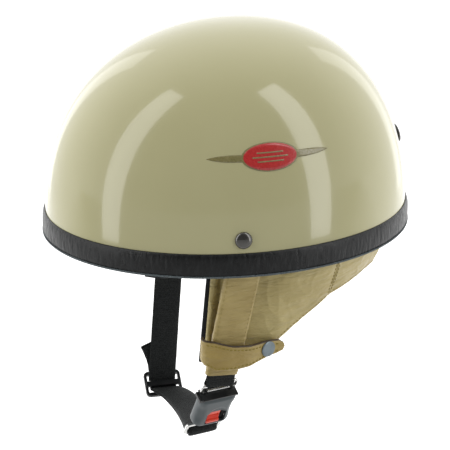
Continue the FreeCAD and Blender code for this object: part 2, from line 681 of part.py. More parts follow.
# Chin strap proper: two layers of webbing from the slider, under the chin, to the tongue's bar.
LOOP_GAUGE = 2 * size("webbing_gauge") + 0.1
SLIDER_EXIT = in_slider(1.0, -7.8, 2.9)
LOOP_SAG = 3.0
LOOP_BOW = 8.0
loop_run = in_buckle(size("tongue_offset"), -50.4, 0) - SLIDER_EXIT


def loop_point(share):
    sag = LOOP_SAG * 4 * share * (1 - share)
    bow = LOOP_BOW * math.sin(math.pi * share ** 0.7)
    return SLIDER_EXIT + loop_run * share + Vector(0, bow, -sag)


def loop_across(share):
    """The strap's rear edge is raised under the chin and level at its ends."""
    raised = 0.32 * math.sin(math.pi * share)
    return blend(SLIDER.Rotation.multVec(Vector(1, 0, 0)), ACROSS_EYE, share) + Vector(0, 0, raised)


loop_stations = [(in_slider(0, y, z), loop_across(0.0)) for y, z in ((-0.4, -2.6), (-3.5, -2.6))]
loop_stations += [(loop_point(share), loop_across(share)) for share in (0.0, 0.1, 0.2, 0.3, 0.4, 0.6, 0.8, 0.97)]
keep(feature("chin_loop", strip(loop_stations, size("webbing_width"), LOOP_GAUGE)), "chin_strap_loop")

WRAP_RADIUS = 3.9
WRAP_AXIS = Vector(size("tongue_offset") - size("webbing_width") / 2, -46.4, 0)
wrap = Part.makeCylinder(WRAP_RADIUS, size("webbing_width"), WRAP_AXIS, Vector(1, 0, 0))
bar_room = Part.makeBox(size("webbing_width") + 2, 3.6, 2.2, WRAP_AXIS - Vector(1, 1.7, 1.1))
keep(feature("tongue_wrap", wrap.cut(bar_room), BUCKLE), "tongue_webbing")

# Free tail of the chin strap, out of the slider and up beside the strap.
tail_back = STRAP_TRAVEL.cross(far_side).normalize()


def tail_point(along, drift, clear):
    return ENTRY + STRAP_TRAVEL * along - far_side * drift + tail_back * clear


def tail_across(turn):
    """The tail's width direction, turned in the strap's own plane."""
    angle = math.radians(turn)
    return far_side * math.cos(angle) + STRAP_TRAVEL * math.sin(angle)


tail_stations = [(tail_point(5.0, 0.5, 2.4), tail_across(0)), (tail_point(13, 2.0, 2.6), tail_across(8)),
                 (tail_point(21, 5.0, 2.8), tail_across(18)), (tail_point(28, 8.6, 3.0), tail_across(28))]
keep(feature("tail", strip(tail_stations, size("webbing_width") - 1, size("webbing_gauge") * 1.4)),
     "strap_tail")

# ---------------------------------------------------------------- curtain: ear flaps and neck panel


def round_dome(angle, inset, height):
    """A point of the curtain: angle from the wearer's left side towards the rear."""
    turn = math.radians(angle)
    return Vector((size("half_width") - inset) * math.cos(turn),
                  (size("half_length") - inset) * math.sin(turn), height)


def curtain(stations, gauge, bulge=1.0):
    """A hanging panel lofted round the rim.

    Each station is (top angle, top inset, top height, low angle, low inset, low height)."""
    wires = []
    for top_angle, top_inset, top_height, low_angle, low_inset, low_height in stations:
        top = round_dome(top_angle, top_inset, top_height)
        low = round_dome(low_angle, low_inset, low_height)
        turn = math.radians((top_angle + low_angle) / 2)
        radial = Vector(size("half_length") * math.cos(turn), size("half_width") * math.sin(turn), 0)
        radial.normalize()
        outer = []
        for share in (0.0, 0.3, 0.65, 1.0):
            outer.append(blend(top, low, share) + radial * (bulge * math.sin(math.pi * share)))
        inner = [point - radial * gauge for point in outer]
        outline = outer + inner[::-1]
        wires.append(Part.makePolygon(outline + [outline[0]]))
    return Part.makeLoft(wires, True, False)


CURTAIN_TOP = 6.0
LEATHER_TOP = 5.3
STRAP_TOP = 11.8
FLAP_STATIONS = [
    (-17.8, STRAP_TOP, CURTAIN_TOP, -21.2, 19.0, -79.0),
    (-12.0, STRAP_TOP, CURTAIN_TOP, -13.0, 20.0, -84.0),
    (-5.0, STRAP_TOP, CURTAIN_TOP, -5.0, 19.0, -78.0),
    (2.5, 10.4, CURTAIN_TOP, 3.0, 17.5, -67.0),
    (10.0, 6.6, CURTAIN_TOP, 10.0, 19.6, -57.5),
    (18.0, LEATHER_TOP, CURTAIN_TOP, 18.0, 20.0, -47.5),
    (27.0, LEATHER_TOP, CURTAIN_TOP, 27.0, 20.0, -38.0),
]
NECK_STATIONS = [
    (27.0, LEATHER_TOP, CURTAIN_TOP, 27.0, 20.0, -38.0),
    (38.0, LEATHER_TOP, CURTAIN_TOP, 38.0, 20.0, -33.0),
    (50.0, LEATHER_TOP, CURTAIN_TOP, 50.0, 20.0, -30.0),
    (60.0, LEATHER_TOP, CURTAIN_TOP, 60.0, 21.0, -31.0),
    (70.0, LEATHER_TOP, CURTAIN_TOP, 70.0, 26.0, -36.0),
    (78.0, LEATHER_TOP, CURTAIN_TOP, 78.0, 30.0, -40.5),
    (90.0, LEATHER_TOP, CURTAIN_TOP, 90.0, 34.0, -44.0),
]
LINING_GAP = 0.4


def across_rear(stations):
    """Carry a set of stations on past the rear centre to the other side."""
    other = [(180 - a, b, c, 180 - d, e, f) for a, b, c, d, e, f in stations[-2::-1]]
    return stations + other


def lined(stations, raise_low, front_reach=0.0):
    """The lining's stations, just inside a panel's own, its lower edge raised."""
    behind = size("leather_gauge") + LINING_GAP
    result = [(a, b + behind, c, d, e + behind, f + raise_low) for a, b, c, d, e, f in stations]
    if front_reach:
        a, b, c, d, e, f = result[0]
        result[0] = (a - front_reach, b, c, d - 1.3 * front_reach, e, f)
    return result


leather = size("leather_gauge")
lining = size("lining_gauge")
flap_sheet = curtain(FLAP_STATIONS, leather)
flap_lining = keep(feature("near_lining", curtain(lined(FLAP_STATIONS, 1.0, 1.4), lining)),
                   "ear_lining_left")
keep(feature("neck", curtain(across_rear(NECK_STATIONS), leather)), "neck_panel")
keep(feature("neck_felt", curtain(across_rear(lined(NECK_STATIONS, 2.0)), lining)), "neck_lining")
keep(mirrored("far_lining", flap_lining), "ear_lining_right")

# ---------------------------------------------------------------- strap tabs with snaps

# The tab's run seen from above (X, Y), and its outline seen from the side (Y, Z).
TAB_RUN = [(102.4, -46.6), (106.2, -44.8), (108.3, -40.4), (109.1, -34.0), (109.2, -26.0),
           (107.8, -15.0), (104.6, -6.0), (101.5, 2.0), (100.0, 9.0), (99.4, 16.5)]
TAB_OUTLINE = [(-46.5, -52.0), (-40.0, -52.6), (-27.0, -57.0), (-13.0, -59.2), (3.0, -59.6),
               (11.0, -60.6), (14.6, -63.4), (15.4, -66.4), (13.8, -69.4), (9.0, -71.0),
               (2.0, -72.0), (-13.0, -75.3), (-26.0, -76.2), (-39.0, -75.8), (-46.5, -71.0)]
SNAP_PLACE = (1.5, -65.6)


def tab_shape():
    gauge = size("tab_gauge")
    middle = [Vector(x, y, -90) for x, y in TAB_RUN]
    outer, inner = [], []
    for i, point in enumerate(middle):
        ahead = middle[min(i + 1, len(middle) - 1)] - middle[max(i - 1, 0)]
        normal = Vector(ahead.y, -ahead.x, 0).normalize() * (gauge / 2)
        outer.append(point + normal)
        inner.append(point - normal)
    edges = []
    for curve_points in (outer, inner):
        curve = Part.BSplineCurve()
        curve.interpolate(curve_points)
        edges.append(curve.toShape())
    ends = [Part.LineSegment(outer[-1], inner[-1]).toShape(),
            Part.LineSegment(inner[0], outer[0]).toShape()]
    wire = Part.Wire([edges[0], ends[0], edges[1], ends[1]])
    wall = Part.Face(wire).extrude(Vector(0, 0, 50))
    side_view = [Vector(80, y, z) for y, z in TAB_OUTLINE]
    block = Part.Face(Part.makePolygon(side_view + [side_view[0]])).extrude(Vector(50, 0, 0))
    return wall.common(block)


def tab_frame():
    """Where the snap goes: on the tab's middle line, square to it."""
    place = SNAP_PLACE[0]
    for (x0, y0), (x1, y1) in zip(TAB_RUN, TAB_RUN[1:]):
        if y0 <= place <= y1:
            share = (place - y0) / (y1 - y0)
            ahead = Vector(x1 - x0, y1 - y0, 0)
            normal = Vector(ahead.y, -ahead.x, 0).normalize()
            return Vector(x0 + (x1 - x0) * share, place, SNAP_PLACE[1]), normal
    raise ValueError("the snap is off the tab")


TAB_SNAP, TAB_NORMAL = tab_frame()
SOCKET_RADIUS = 4.2
STUD_RADIUS = 2.0


def snap_cap_profile(radius, grip, rise, socket_low):
    """Cap over the leather and a socket under it; height 0 is the leather's middle."""
    top = grip / 2 + 0.7
    return [(0, top + rise + 0.5), (radius - 1.2, top + rise + 0.3), (radius, top + rise - 0.3),
            (radius, top), (SOCKET_RADIUS - 0.1, top), (SOCKET_RADIUS - 0.1, socket_low),
            (STUD_RADIUS + 0.3, socket_low), (STUD_RADIUS + 0.3, top - 0.4), (0, top - 0.4)]


def stud_profile(post_high, base_high, base_radius, base_low):
    """Post on a flat base; height 0 is the same level as the cap's."""
    return [(0, base_low), (base_radius, base_low), (base_radius, base_high),
            (STUD_RADIUS - 0.3, base_high), (STUD_RADIUS, post_high - 0.8),
            (STUD_RADIUS, post_high - 0.4), (STUD_RADIUS - 0.6, post_high), (0, post_high)]


tab_hole = Part.makeCylinder(SOCKET_RADIUS, 12, TAB_SNAP - TAB_NORMAL * 6, TAB_NORMAL)
tab_left = keep(feature("near_tab", tab_shape().cut(tab_hole)), "tab_left")
tab_cap = turned("near_tab_cap", snap_cap_profile(size("snap_cap") / 2, size("tab_gauge"), 0.8, -1.9))
tab_cap.Placement = axis_placement(TAB_SNAP, TAB_NORMAL)
keep(tab_cap, "tab_snap_left")
stud_seat = Part.makeCylinder(5.1, 8, TAB_SNAP - TAB_NORMAL * 2.95, TAB_NORMAL)
flap_left = keep(feature("near_flap", flap_sheet.cut(stud_seat)), "ear_flap_left")
keep(mirrored("far_flap", flap_left), "ear_flap_right")
tab_stud = turned("near_tab_stud", stud_profile(0.2, -2.3, 5.0, -2.9))
tab_stud.Placement = axis_placement(TAB_SNAP, TAB_NORMAL)
keep(tab_stud, "tab_stud_left")
keep(mirrored("far_tab", tab_left), "tab_right")
keep(mirrored("far_tab_cap", tab_cap), "tab_snap_right")
keep(mirrored("far_tab_stud", tab_stud), "tab_stud_right")

# ---------------------------------------------------------------- goggle keeper at the rear

KEEPER_GAUGE = 2.0
KEEPER_CLEAR = 0.35


def keeper_shape(low, high, steps):
    """A leather strip lying on the shell between two heights."""
    stations = []
    for step in range(steps + 1):
        height = low + (high - low) * step / steps
        offset = rear_normal(height) * (KEEPER_CLEAR + KEEPER_GAUGE / 2)
        stations.append((Vector(0, rear_y(height), height) + offset, (1, 0, 0)))
    return strip(stations, size("keeper_width"), KEEPER_GAUGE)


flex = size("keeper_flex")
keeper_rivet_normal = rear_normal(size("keeper_rivet_level"))
keeper_snap_normal = rear_normal(size("keeper_snap_level"))
keeper_bore = Part.makeCylinder(size("rivet_hole") / 2, 20,
                                KEEPER_RIVET_AT - keeper_rivet_normal * 10, keeper_rivet_normal)
socket_bore = Part.makeCylinder(SOCKET_RADIUS, 20, KEEPER_SNAP_AT - keeper_snap_normal * 10,
                                keeper_snap_normal)
keep(feature("keeper_foot", keeper_shape(size("keeper_low"), flex, 3).cut(keeper_bore)),
     "keeper_foot")
keep(feature("keeper_flap", keeper_shape(flex + 0.3, size("keeper_high"), 9).cut(socket_bore)),
     "keeper_flap")
keeper_middle = KEEPER_CLEAR + KEEPER_GAUGE / 2
keeper_cap = turned("keeper_cap", snap_cap_profile(size("keeper_cap") / 2, KEEPER_GAUGE, 1.6, -0.8))
keeper_cap.Placement = axis_placement(KEEPER_SNAP_AT + keeper_snap_normal * keeper_middle,
                                      keeper_snap_normal)
keep(keeper_cap, "keeper_snap")


def shell_stud_profile():
    """Post with a thin flange on the shell, a shank through it and a tail inside."""
    wall, shank = size("shell_wall") + 0.6, size("rivet_shank") / 2
    base = 0.2 - keeper_middle
    inside = -keeper_middle - wall - 0.05
    return ([(0, inside - 1.2), (3.4, inside - 1.2), (3.4, inside), (shank, inside), (shank, base)]
            + stud_profile(0.2, base + 0.3, 3.6, base)[1:])


keeper_stud = turned("keeper_stud", shell_stud_profile())
keeper_stud.Placement = keeper_cap.Placement
keep(keeper_stud, "keeper_stud")


def keeper_rivet_profile():
    """Flat headed rivet through the strap's foot and the shell."""
    grip = size("shell_wall") + 0.8
    outer = KEEPER_CLEAR + KEEPER_GAUGE + 0.05
    shank = size("rivet_shank") / 2
    return (domed_cap(4.5, 1.3, outer + 0.4)
            + [(0, -grip - 1.2), (3.4, -grip - 1.2), (3.4, -grip), (shank, -grip), (shank, outer),
               (4.5, outer)])


keeper_rivet = turned("keeper_rivet", keeper_rivet_profile())
keeper_rivet.Placement = axis_placement(KEEPER_RIVET_AT, keeper_rivet_normal)
keep(keeper_rivet, "keeper_rivet")

doc.recompute()

# ---------------------------------------------------------------- write the parts


def check(objects):
    for item in objects:
        if "Invalid" in item.State or "Error" in item.State:
            raise RuntimeError(f"{item.Name} failed: {item.State}")
    for piece in nodes:
        if piece.Shape.isNull() or not piece.Shape.isValid():
            raise RuntimeError(f"{piece.Label} has no valid shape")


doc.recompute()
check(doc.Objects)
for piece in nodes:
    piece.Shape.exportStep(f"parts/{piece.Label}.step")
print(len(nodes), "parts written")
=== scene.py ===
import math

import bmesh
import bpy
from mathutils import Matrix, Vector, noise


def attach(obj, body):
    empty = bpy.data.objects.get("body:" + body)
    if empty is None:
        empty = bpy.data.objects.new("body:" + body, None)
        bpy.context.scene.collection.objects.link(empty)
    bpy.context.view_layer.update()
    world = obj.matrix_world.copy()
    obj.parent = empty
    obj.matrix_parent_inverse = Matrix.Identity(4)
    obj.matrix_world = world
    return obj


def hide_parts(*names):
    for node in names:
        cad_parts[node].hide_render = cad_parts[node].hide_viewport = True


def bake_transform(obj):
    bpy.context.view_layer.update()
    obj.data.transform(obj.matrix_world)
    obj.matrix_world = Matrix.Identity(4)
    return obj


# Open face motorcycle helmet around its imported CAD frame. Metres, +Z up, the helmet faces -Y and the
# wearer's left, with the buckle, is +X. Lengths below are written in millimetres times MM.
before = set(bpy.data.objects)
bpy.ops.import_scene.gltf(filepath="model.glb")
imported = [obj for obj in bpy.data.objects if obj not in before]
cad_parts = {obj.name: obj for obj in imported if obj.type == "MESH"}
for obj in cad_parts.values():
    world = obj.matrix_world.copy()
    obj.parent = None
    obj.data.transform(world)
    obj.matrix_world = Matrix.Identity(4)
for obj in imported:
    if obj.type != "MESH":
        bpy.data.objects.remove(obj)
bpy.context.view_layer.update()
MM = 0.001

# ---------------------------------------------------------------- curves, rings and skins


def mix(start, end, share):
    return start + (end - start) * share


def ease(share):
    """0 to 1 with a soft start and end; clamped outside."""
    share = min(1.0, max(0.0, share))
    return share * share * (3 - 2 * share)


def spline(points, share):
    """A place on the smooth curve through a list of tuples, share 0 to 1 of the way."""
    last = len(points) - 1
    place = min(1.0, max(0.0, share)) * last
    i = min(int(place), last - 1)
    t = place - i
    before, start, end, after = (points[max(i - 1, 0)], points[i], points[i + 1],
                                 points[min(i + 2, last)])
    return tuple(0.5 * (2 * b + (c - a) * t + (2 * a - 5 * b + 4 * c - d) * t ** 2
                        + (3 * b - a - 3 * c + d) * t ** 3)
                 for a, b, c, d in zip(before, start, end, after))


def even(stations, pitch, steps=60):
    """The smooth curve through (point, across) stations, cut at even steps of about pitch."""
    flat = [(*point, *across) for point, across in stations]
    fine = [spline(flat, k / (steps * (len(flat) - 1))) for k in range(steps * (len(flat) - 1) + 1)]
    reach = [0.0]
    for one, two in zip(fine, fine[1:]):
        reach.append(reach[-1] + math.dist(one[:3], two[:3]))
    count = max(2, round(reach[-1] / pitch))
    cut, i = [], 0
    for k in range(count + 1):
        goal = reach[-1] * k / count
        while i < len(fine) - 2 and reach[i + 1] < goal:
            i += 1
        gap = reach[i + 1] - reach[i]
        share = (goal - reach[i]) / gap if gap > 0 else 0.0
        cut.append(tuple(mix(a, b, share) for a, b in zip(fine[i], fine[i + 1])))
    return [(Vector(c[:3]), Vector(c[3:])) for c in cut], reach[-1]


def skin(bm, rings, wrap=True, closed=False):
    """Quads between rings of points. wrap joins each ring's ends, closed joins last to first."""
    made = [[bm.verts.new(point) for point in ring] for ring in rings]
    pairs = list(zip(made, made[1:])) + ([(made[-1], made[0])] if closed else [])
    count = len(rings[0])
    for one, two in pairs:
        for i in range(count if wrap else count - 1):
            j = (i + 1) % count
            bm.faces.new((one[i], one[j], two[j], two[i]))
    return made


def solid(bm, rings):
    """A closed body: each ring is an outer row and then the inner row backwards."""
    made = skin(bm, rings)
    half = len(rings[0]) // 2
    for ring in (made[0], made[-1]):
        for i in range(half - 1):
            bm.faces.new((ring[i], ring[i + 1], ring[2 * half - 2 - i], ring[2 * half - 1 - i]))


def piece(name, bm, finish, body="helmet", stands_for=()):
    bmesh.ops.remove_doubles(bm, verts=bm.verts, dist=1e-7)
    bmesh.ops.dissolve_degenerate(bm, dist=1e-7, edges=bm.edges)
    bmesh.ops.recalc_face_normals(bm, faces=bm.faces)
    mesh = bpy.data.meshes.new(name)
    bm.to_mesh(mesh)
    bm.free()
    mesh.shade_smooth()
    mesh.materials.append(finish)
    obj = bpy.data.objects.new(name, mesh)
    bpy.context.scene.collection.objects.link(obj)
    if body:
        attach(obj, body)
    if stands_for:
        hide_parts(*stands_for)
    return obj


def crease(obj, degrees=40):
    """Keep edges sharper than this angle crisp."""
    obj.data.set_sharp_from_angle(angle=math.radians(degrees))


def axes(origin, direction):
    """A frame at origin with its Z along direction."""
    turn = Vector(direction).to_track_quat("Z", "Y").to_matrix().to_4x4()
    return Matrix.Translation(origin) @ turn


def lathe(bm, profile, place, segments=48):
    """A turned body: profile lists (radius, height), place is its frame."""
    rings = []
    for radius, height in profile:
        rings.append([place @ Vector((radius * math.cos(2 * math.pi * k / segments),
                                      radius * math.sin(2 * math.pi * k / segments), height))
                      for k in range(segments)])
    skin(bm, rings)


def dome_profile(radius, rise, low, steps=12):
    """The rounded top of a cap, from the axis out to its rim."""
    return [(radius * math.sin(math.pi / 2 * k / steps), low + rise * math.cos(math.pi / 2 * k / steps))
            for k in range(steps + 1)]


def mirror_points(rows):
    return [[Vector((-p.x, p.y, p.z)) for p in row] for row in rows]


# ---------------------------------------------------------------- procedural materials


class Nodes:
    """A short way to build one material's node tree around a Principled shader."""

    def __init__(self, name, **sockets):
        self.material = bpy.data.materials.new(name)
        self.material.use_nodes = True
        self.tree = self.material.node_tree
        self.shader = self.tree.nodes["Principled BSDF"]
        for socket, value in sockets.items():
            self.shader.inputs[socket.replace("_", " ")].default_value = value
        self.place = self.add("ShaderNodeTexCoord").outputs["Object"]
        self.normal = None

    def add(self, kind, links=None, **values):
        node = self.tree.nodes.new(kind)
        for key, value in values.items():
            setattr(node, key, value)
        for key, source in (links or {}).items():
            self.feed(source, node.inputs[key])
        return node

    def feed(self, source, socket):
        if isinstance(source, (int, float, tuple)):
            socket.default_value = source
        else:
            self.tree.links.new(source, socket)

    def stretched(self, scale):
        return self.add("ShaderNodeMapping", {"Vector": self.place, "Scale": scale}).outputs[0]

    def noise(self, scale, detail=4.0, rough=0.55, stretch=None, warp=0.0):
        vector = self.stretched(stretch) if stretch else self.place
        node = self.add("ShaderNodeTexNoise", {"Vector": vector, "Scale": scale, "Detail": detail,
                                               "Roughness": rough, "Distortion": warp})
        return node.outputs["Fac"]

    def cells(self, scale, feature="F1", stretch=None):
        vector = self.stretched(stretch) if stretch else self.place
        node = self.add("ShaderNodeTexVoronoi", {"Vector": vector, "Scale": scale}, feature=feature)
        return node.outputs["Distance"]

    def math(self, operation, one, two=0.0, clamp=False):
        node = self.add("ShaderNodeMath", {0: one, 1: two}, operation=operation, use_clamp=clamp)
        return node.outputs[0]

    def span(self, source, low, high, to_low=0.0, to_high=1.0):
        node = self.add("ShaderNodeMapRange", {"Value": source, "From Min": low, "From Max": high,
                                               "To Min": to_low, "To Max": to_high})
        return node.outputs[0]

    def blend(self, factor, one, two):
        node = self.add("ShaderNodeMix", data_type="RGBA")
        self.feed(factor, node.inputs[0])
        self.feed(one, node.inputs[6])
        self.feed(two, node.inputs[7])
        return node.outputs[2]

    def bump(self, height, strength, depth):
        links = {"Height": height, "Strength": strength, "Distance": depth}
        if self.normal:
            links["Normal"] = self.normal
        self.normal = self.add("ShaderNodeBump", links).outputs[0]

    def done(self, colour=None, roughness=None):
        if colour is not None:
            self.tree.links.new(colour, self.shader.inputs["Base Color"])
        if roughness is not None:
            self.tree.links.new(roughness, self.shader.inputs["Roughness"])
        if self.normal:
            self.tree.links.new(self.normal, self.shader.inputs["Normal"])
        return self.material


def rgba(red, green, blue):
    return (red, green, blue, 1.0)


def gel_coat():
    """Glossy cream paint with a trace of orange peel and uneven tone."""
    n = Nodes("gel_coat", Coat_Weight=0.6, Coat_Roughness=0.03, Coat_IOR=1.5, IOR=1.45)
    tone = n.noise(9.0, 2.0)
    colour = n.blend(n.span(tone, 0.35, 0.65), rgba(0.452, 0.426, 0.228), rgba(0.474, 0.448, 0.244))
    n.bump(n.noise(420.0, 1.0), 0.05, 0.00004)
    return n.done(colour, n.span(n.noise(60.0, 3.0), 0.3, 0.7, 0.11, 0.17))


def black_leather():
    """Black leatherette: fine grain, upright wrinkles and paler worn ridges."""
    n = Nodes("black_leather", Specular_IOR_Level=0.4)
    grain = n.cells(1500.0)
    wrinkle = n.noise(420.0, 5.0, 0.62, (1.0, 1.0, 0.3), 0.6)
    wear = n.math("MULTIPLY", n.span(wrinkle, 0.5, 0.75), 0.6)
    colour = n.blend(wear, rgba(0.004, 0.0045, 0.0045), rgba(0.022, 0.024, 0.025))
    n.bump(wrinkle, 0.9, 0.0005)
    n.bump(grain, 0.35, 0.00012)
    return n.done(colour, n.span(wrinkle, 0.3, 0.7, 0.22, 0.45))


def tan_leather(name, light, dark, crinkle=1.0):
    """Soft tan hide: cloudy tone, level creases with painted shade along them, fine grain and darker pores."""
    n = Nodes(name, Specular_IOR_Level=0.5, Sheen_Weight=0.03, Sheen_Roughness=0.5)
    cloud = n.noise(34.0, 3.0, 0.5)
    crease_lines = n.noise(105.0, 4.0, 0.55, (0.45, 0.45, 1.9), 0.3)
    pores = n.cells(1900.0)
    grain = n.noise(900.0, 4.0, 0.6)
    colour = n.blend(n.span(cloud, 0.3, 0.7), dark, light)
    # painted shade: the hide's colour is darkened along the crease lines
    shade = n.math("MULTIPLY", n.span(crease_lines, 0.48, 0.32), 0.14)
    deep = tuple(0.62 * c for c in dark[:3]) + (1.0,)
    colour = n.blend(shade, colour, deep)
    colour = n.blend(n.math("MULTIPLY", n.span(pores, 0.18, 0.0), 0.25), colour, deep)
    n.bump(crease_lines, 0.9 * crinkle, 0.0030)
    n.bump(grain, 0.35, 0.00022)
    n.bump(pores, 0.25, 0.0001)
    return n.done(colour, n.span(cloud, 0.3, 0.7, 0.46, 0.38))


def fabric(name, dark, light, scale, sheen, weave=False):
    """Felt or brushed knit: fibres, soft sheen and lint; weave adds fine crossed ribs."""
    n = Nodes(name, Sheen_Weight=sheen, Sheen_Roughness=0.4, Specular_IOR_Level=0.2)
    fibre = n.noise(scale, 6.0, 0.7, (1.0, 1.0, 0.45), 1.0)
    lint = n.span(n.noise(scale * 0.45, 2.0), 0.62, 0.78)
    colour = n.blend(n.span(fibre, 0.3, 0.72), dark, light)
    colour = n.blend(n.math("MULTIPLY", lint, 0.2), colour, tuple(2.2 * c for c in light[:3]) + (1.0,))
    n.bump(fibre, 0.8, 0.0005)
    if weave:
        n.bump(n.cells(scale * 1.4, "F1", (1.0, 1.0, 0.6)), 0.5, 0.0003)
    n.shader.inputs["Roughness"].default_value = 0.9
    return n.done(colour)


def webbing_cloth():
    """Nylon webbing: yarns of uneven tone with a painted sheen on their pale middles, across ribs that the mesh
    itself carries.
    """
    dark, light = rgba(0.005, 0.006, 0.006), rgba(0.036, 0.041, 0.039)
    n = Nodes("webbing_cloth", Specular_IOR_Level=0.22, Sheen_Weight=0.02, Sheen_Roughness=0.35)
    yarn_cells_and_painted_sheen = n.cells(1500.0, "F1")
    thread = n.noise(1300.0, 3.0, 0.6)
    # partly yarn tone, partly painted sheen: each yarn is paler in its middle and darker at its edges
    colour = n.blend(n.span(yarn_cells_and_painted_sheen, 0.05, 0.6), light, dark)
    n.bump(yarn_cells_and_painted_sheen, 0.7, 0.0003)
    n.bump(thread, 0.3, 0.0001)
    return n.done(colour, n.span(thread, 0.3, 0.7, 0.5, 0.7))


def moulded(name, base, rough, texture=0.3, coat=0.0):
    """Injection moulded plastic: fine spark texture, flow marks and handling wear."""
    n = Nodes(name, Specular_IOR_Level=0.5, Coat_Weight=coat, Coat_Roughness=0.2)
    flow = n.noise(55.0, 3.0, 0.5, (1.0, 1.0, 0.4))
    speck = n.noise(2600.0, 2.0, 0.6)
    worn = tuple(min(1.0, 1.22 * c + 0.004) for c in base[:3]) + (1.0,)
    colour = n.blend(n.span(flow, 0.35, 0.68), base, worn)
    n.bump(speck, texture, 0.00006)
    return n.done(colour, n.span(flow, 0.3, 0.7, rough - 0.06, rough + 0.07))


def metal(name, base, rough, brushed=0.0, tarnish=0.2):
    """Plated or drawn metal with fine scratches and cloudy dull patches."""
    n = Nodes(name, Metallic=1.0)
    cloud = n.noise(160.0, 4.0, 0.6)
    lines = n.noise(900.0, 3.0, 0.6, (1.0, 0.06, 1.0))
    dull = tuple((1 - tarnish) * c for c in base[:3]) + (1.0,)
    colour = n.blend(n.span(cloud, 0.4, 0.7), base, dull)
    n.bump(lines, 0.12 + brushed, 0.00003)
    return n.done(colour, n.span(cloud, 0.3, 0.75, rough, rough + 0.12))


def bead_foam():
    """Expanded polystyrene: pressed beads."""
    n = Nodes("bead_foam", Roughness=0.8, Specular_IOR_Level=0.25)
    beads = n.cells(330.0)
    colour = n.blend(n.span(beads, 0.1, 0.55), rgba(0.045, 0.047, 0.05), rgba(0.018, 0.019, 0.02))
    n.bump(beads, 0.7, 0.0006)
    return n.done(colour)


def printed(name, ink, edge):
    """A printed decal under varnish, slightly mottled."""
    n = Nodes(name, Coat_Weight=0.7, Coat_Roughness=0.06)
    colour = n.blend(n.span(n.noise(700.0, 3.0), 0.35, 0.7), ink, edge)
    return n.done(colour, n.span(n.noise(150.0), 0.3, 0.7, 0.22, 0.32))


def thread_yarn(name, base):
    n = Nodes(name, Roughness=0.65, Sheen_Weight=0.3, Sheen_Roughness=0.4)
    twist = n.noise(2400.0, 2.0)
    dark = tuple(0.6 * c for c in base[:3]) + (1.0,)
    n.bump(twist, 0.5, 0.0001)
    return n.done(n.blend(n.span(twist, 0.35, 0.65), dark, base))


GEL = gel_coat()
BLACK_HIDE = black_leather()
TAN = tan_leather("tan_leather", rgba(0.500, 0.408, 0.166), rgba(0.415, 0.330, 0.124))
TAN_TAB = tan_leather("tan_tab_leather", rgba(0.435, 0.325, 0.105), rgba(0.330, 0.232, 0.062))
TAN_STRAP = tan_leather("tan_strap_leather", rgba(0.520, 0.408, 0.165), rgba(0.375, 0.280, 0.095), 1.0)
FELT = fabric("black_felt", rgba(0.006, 0.0065, 0.007), rgba(0.022, 0.024, 0.025), 900.0, 0.15)
KNIT = fabric("pad_knit", rgba(0.014, 0.015, 0.017), rgba(0.05, 0.052, 0.058), 700.0, 0.4, True)
WEBBING = webbing_cloth()
SELVEDGE = fabric("selvedge_tape", rgba(0.040, 0.050, 0.054), rgba(0.17, 0.20, 0.21), 1600.0, 0.15)
GREY_PLASTIC = moulded("grey_plastic", rgba(0.052, 0.066, 0.070), 0.40, 0.2, 0.0)
BLACK_PLASTIC = moulded("black_plastic", rgba(0.008, 0.009, 0.0095), 0.36)
RED_PLASTIC = moulded("red_plastic", rgba(0.86, 0.085, 0.045), 0.33, 0.25, 0.2)
DARK_CHROME = metal("dark_chrome", rgba(0.15, 0.146, 0.138), 0.12)
CHROME = metal("chrome", rgba(0.80, 0.80, 0.78), 0.07)
STEEL = metal("bright_steel", rgba(0.50, 0.50, 0.51), 0.24, 0.2)
SNAP_STEEL = metal("snap_steel", rgba(0.22, 0.26, 0.28), 0.34, 0.1)
FOAM = bead_foam()
BADGE_RED = printed("badge_red_ink", rgba(0.50, 0.022, 0.020), rgba(0.42, 0.014, 0.014))
BADGE_GOLD = printed("badge_gold_ink", rgba(0.23, 0.20, 0.075), rgba(0.17, 0.15, 0.05))
THREAD = thread_yarn("olive_thread", rgba(0.33, 0.25, 0.03))
RAW_EDGE = tan_leather("raw_leather_edge", rgba(0.075, 0.048, 0.024), rgba(0.045, 0.028, 0.013))
BLACK_THREAD = thread_yarn("black_thread", rgba(0.03, 0.03, 0.032))

# ---------------------------------------------------------------- the dome's surface

HALF_WIDTH, HALF_LENGTH, DOME_RISE, WIDEST_LEVEL = 115 * MM, 139 * MM, 159.4 * MM, -5 * MM
PROFILE_POWER, ROUNDNESS, REAR_SHIFT, SHIFT_POWER = 2.48, 2.155, 7.4 * MM, 3.96
SHELL_WALL = 3 * MM
CROWN = WIDEST_LEVEL + DOME_RISE


def level_of(height, inset):
    return min(1.0, max(0.0, (height - WIDEST_LEVEL) / (DOME_RISE - inset)))


def dome(turn, height, inset=0.0):
    """A point of the dome: turn runs from the wearer's left towards the rear."""
    level = level_of(height, inset)
    radius = (1 - level ** PROFILE_POWER) ** (1 / ROUNDNESS)
    return Vector(((HALF_WIDTH - inset) * radius * math.cos(turn),
                   (HALF_LENGTH - inset) * radius * math.sin(turn)
                   + REAR_SHIFT * level ** SHIFT_POWER, height))


def on_side(along, height, inset=0.0, side=1):
    """The dome's surface at one Y and Z; side 1 is the wearer's left."""
    level = level_of(height, inset)
    radius = (1 - level ** PROFILE_POWER) ** (1 / ROUNDNESS)
    offset = (along - REAR_SHIFT * level ** SHIFT_POWER) / ((HALF_LENGTH - inset) * radius)
    return Vector((side * (HALF_WIDTH - inset) * radius * math.sqrt(max(0.0, 1 - offset ** 2)),
                   along, height))


def side_normal(along, height, side=1, step=0.5 * MM):
    across = on_side(along + step, height) - on_side(along - step, height)
    upward = on_side(along, height + step) - on_side(along, height - step)
    out = across.cross(upward).normalized()
    return Vector((side * out.x, out.y, out.z))


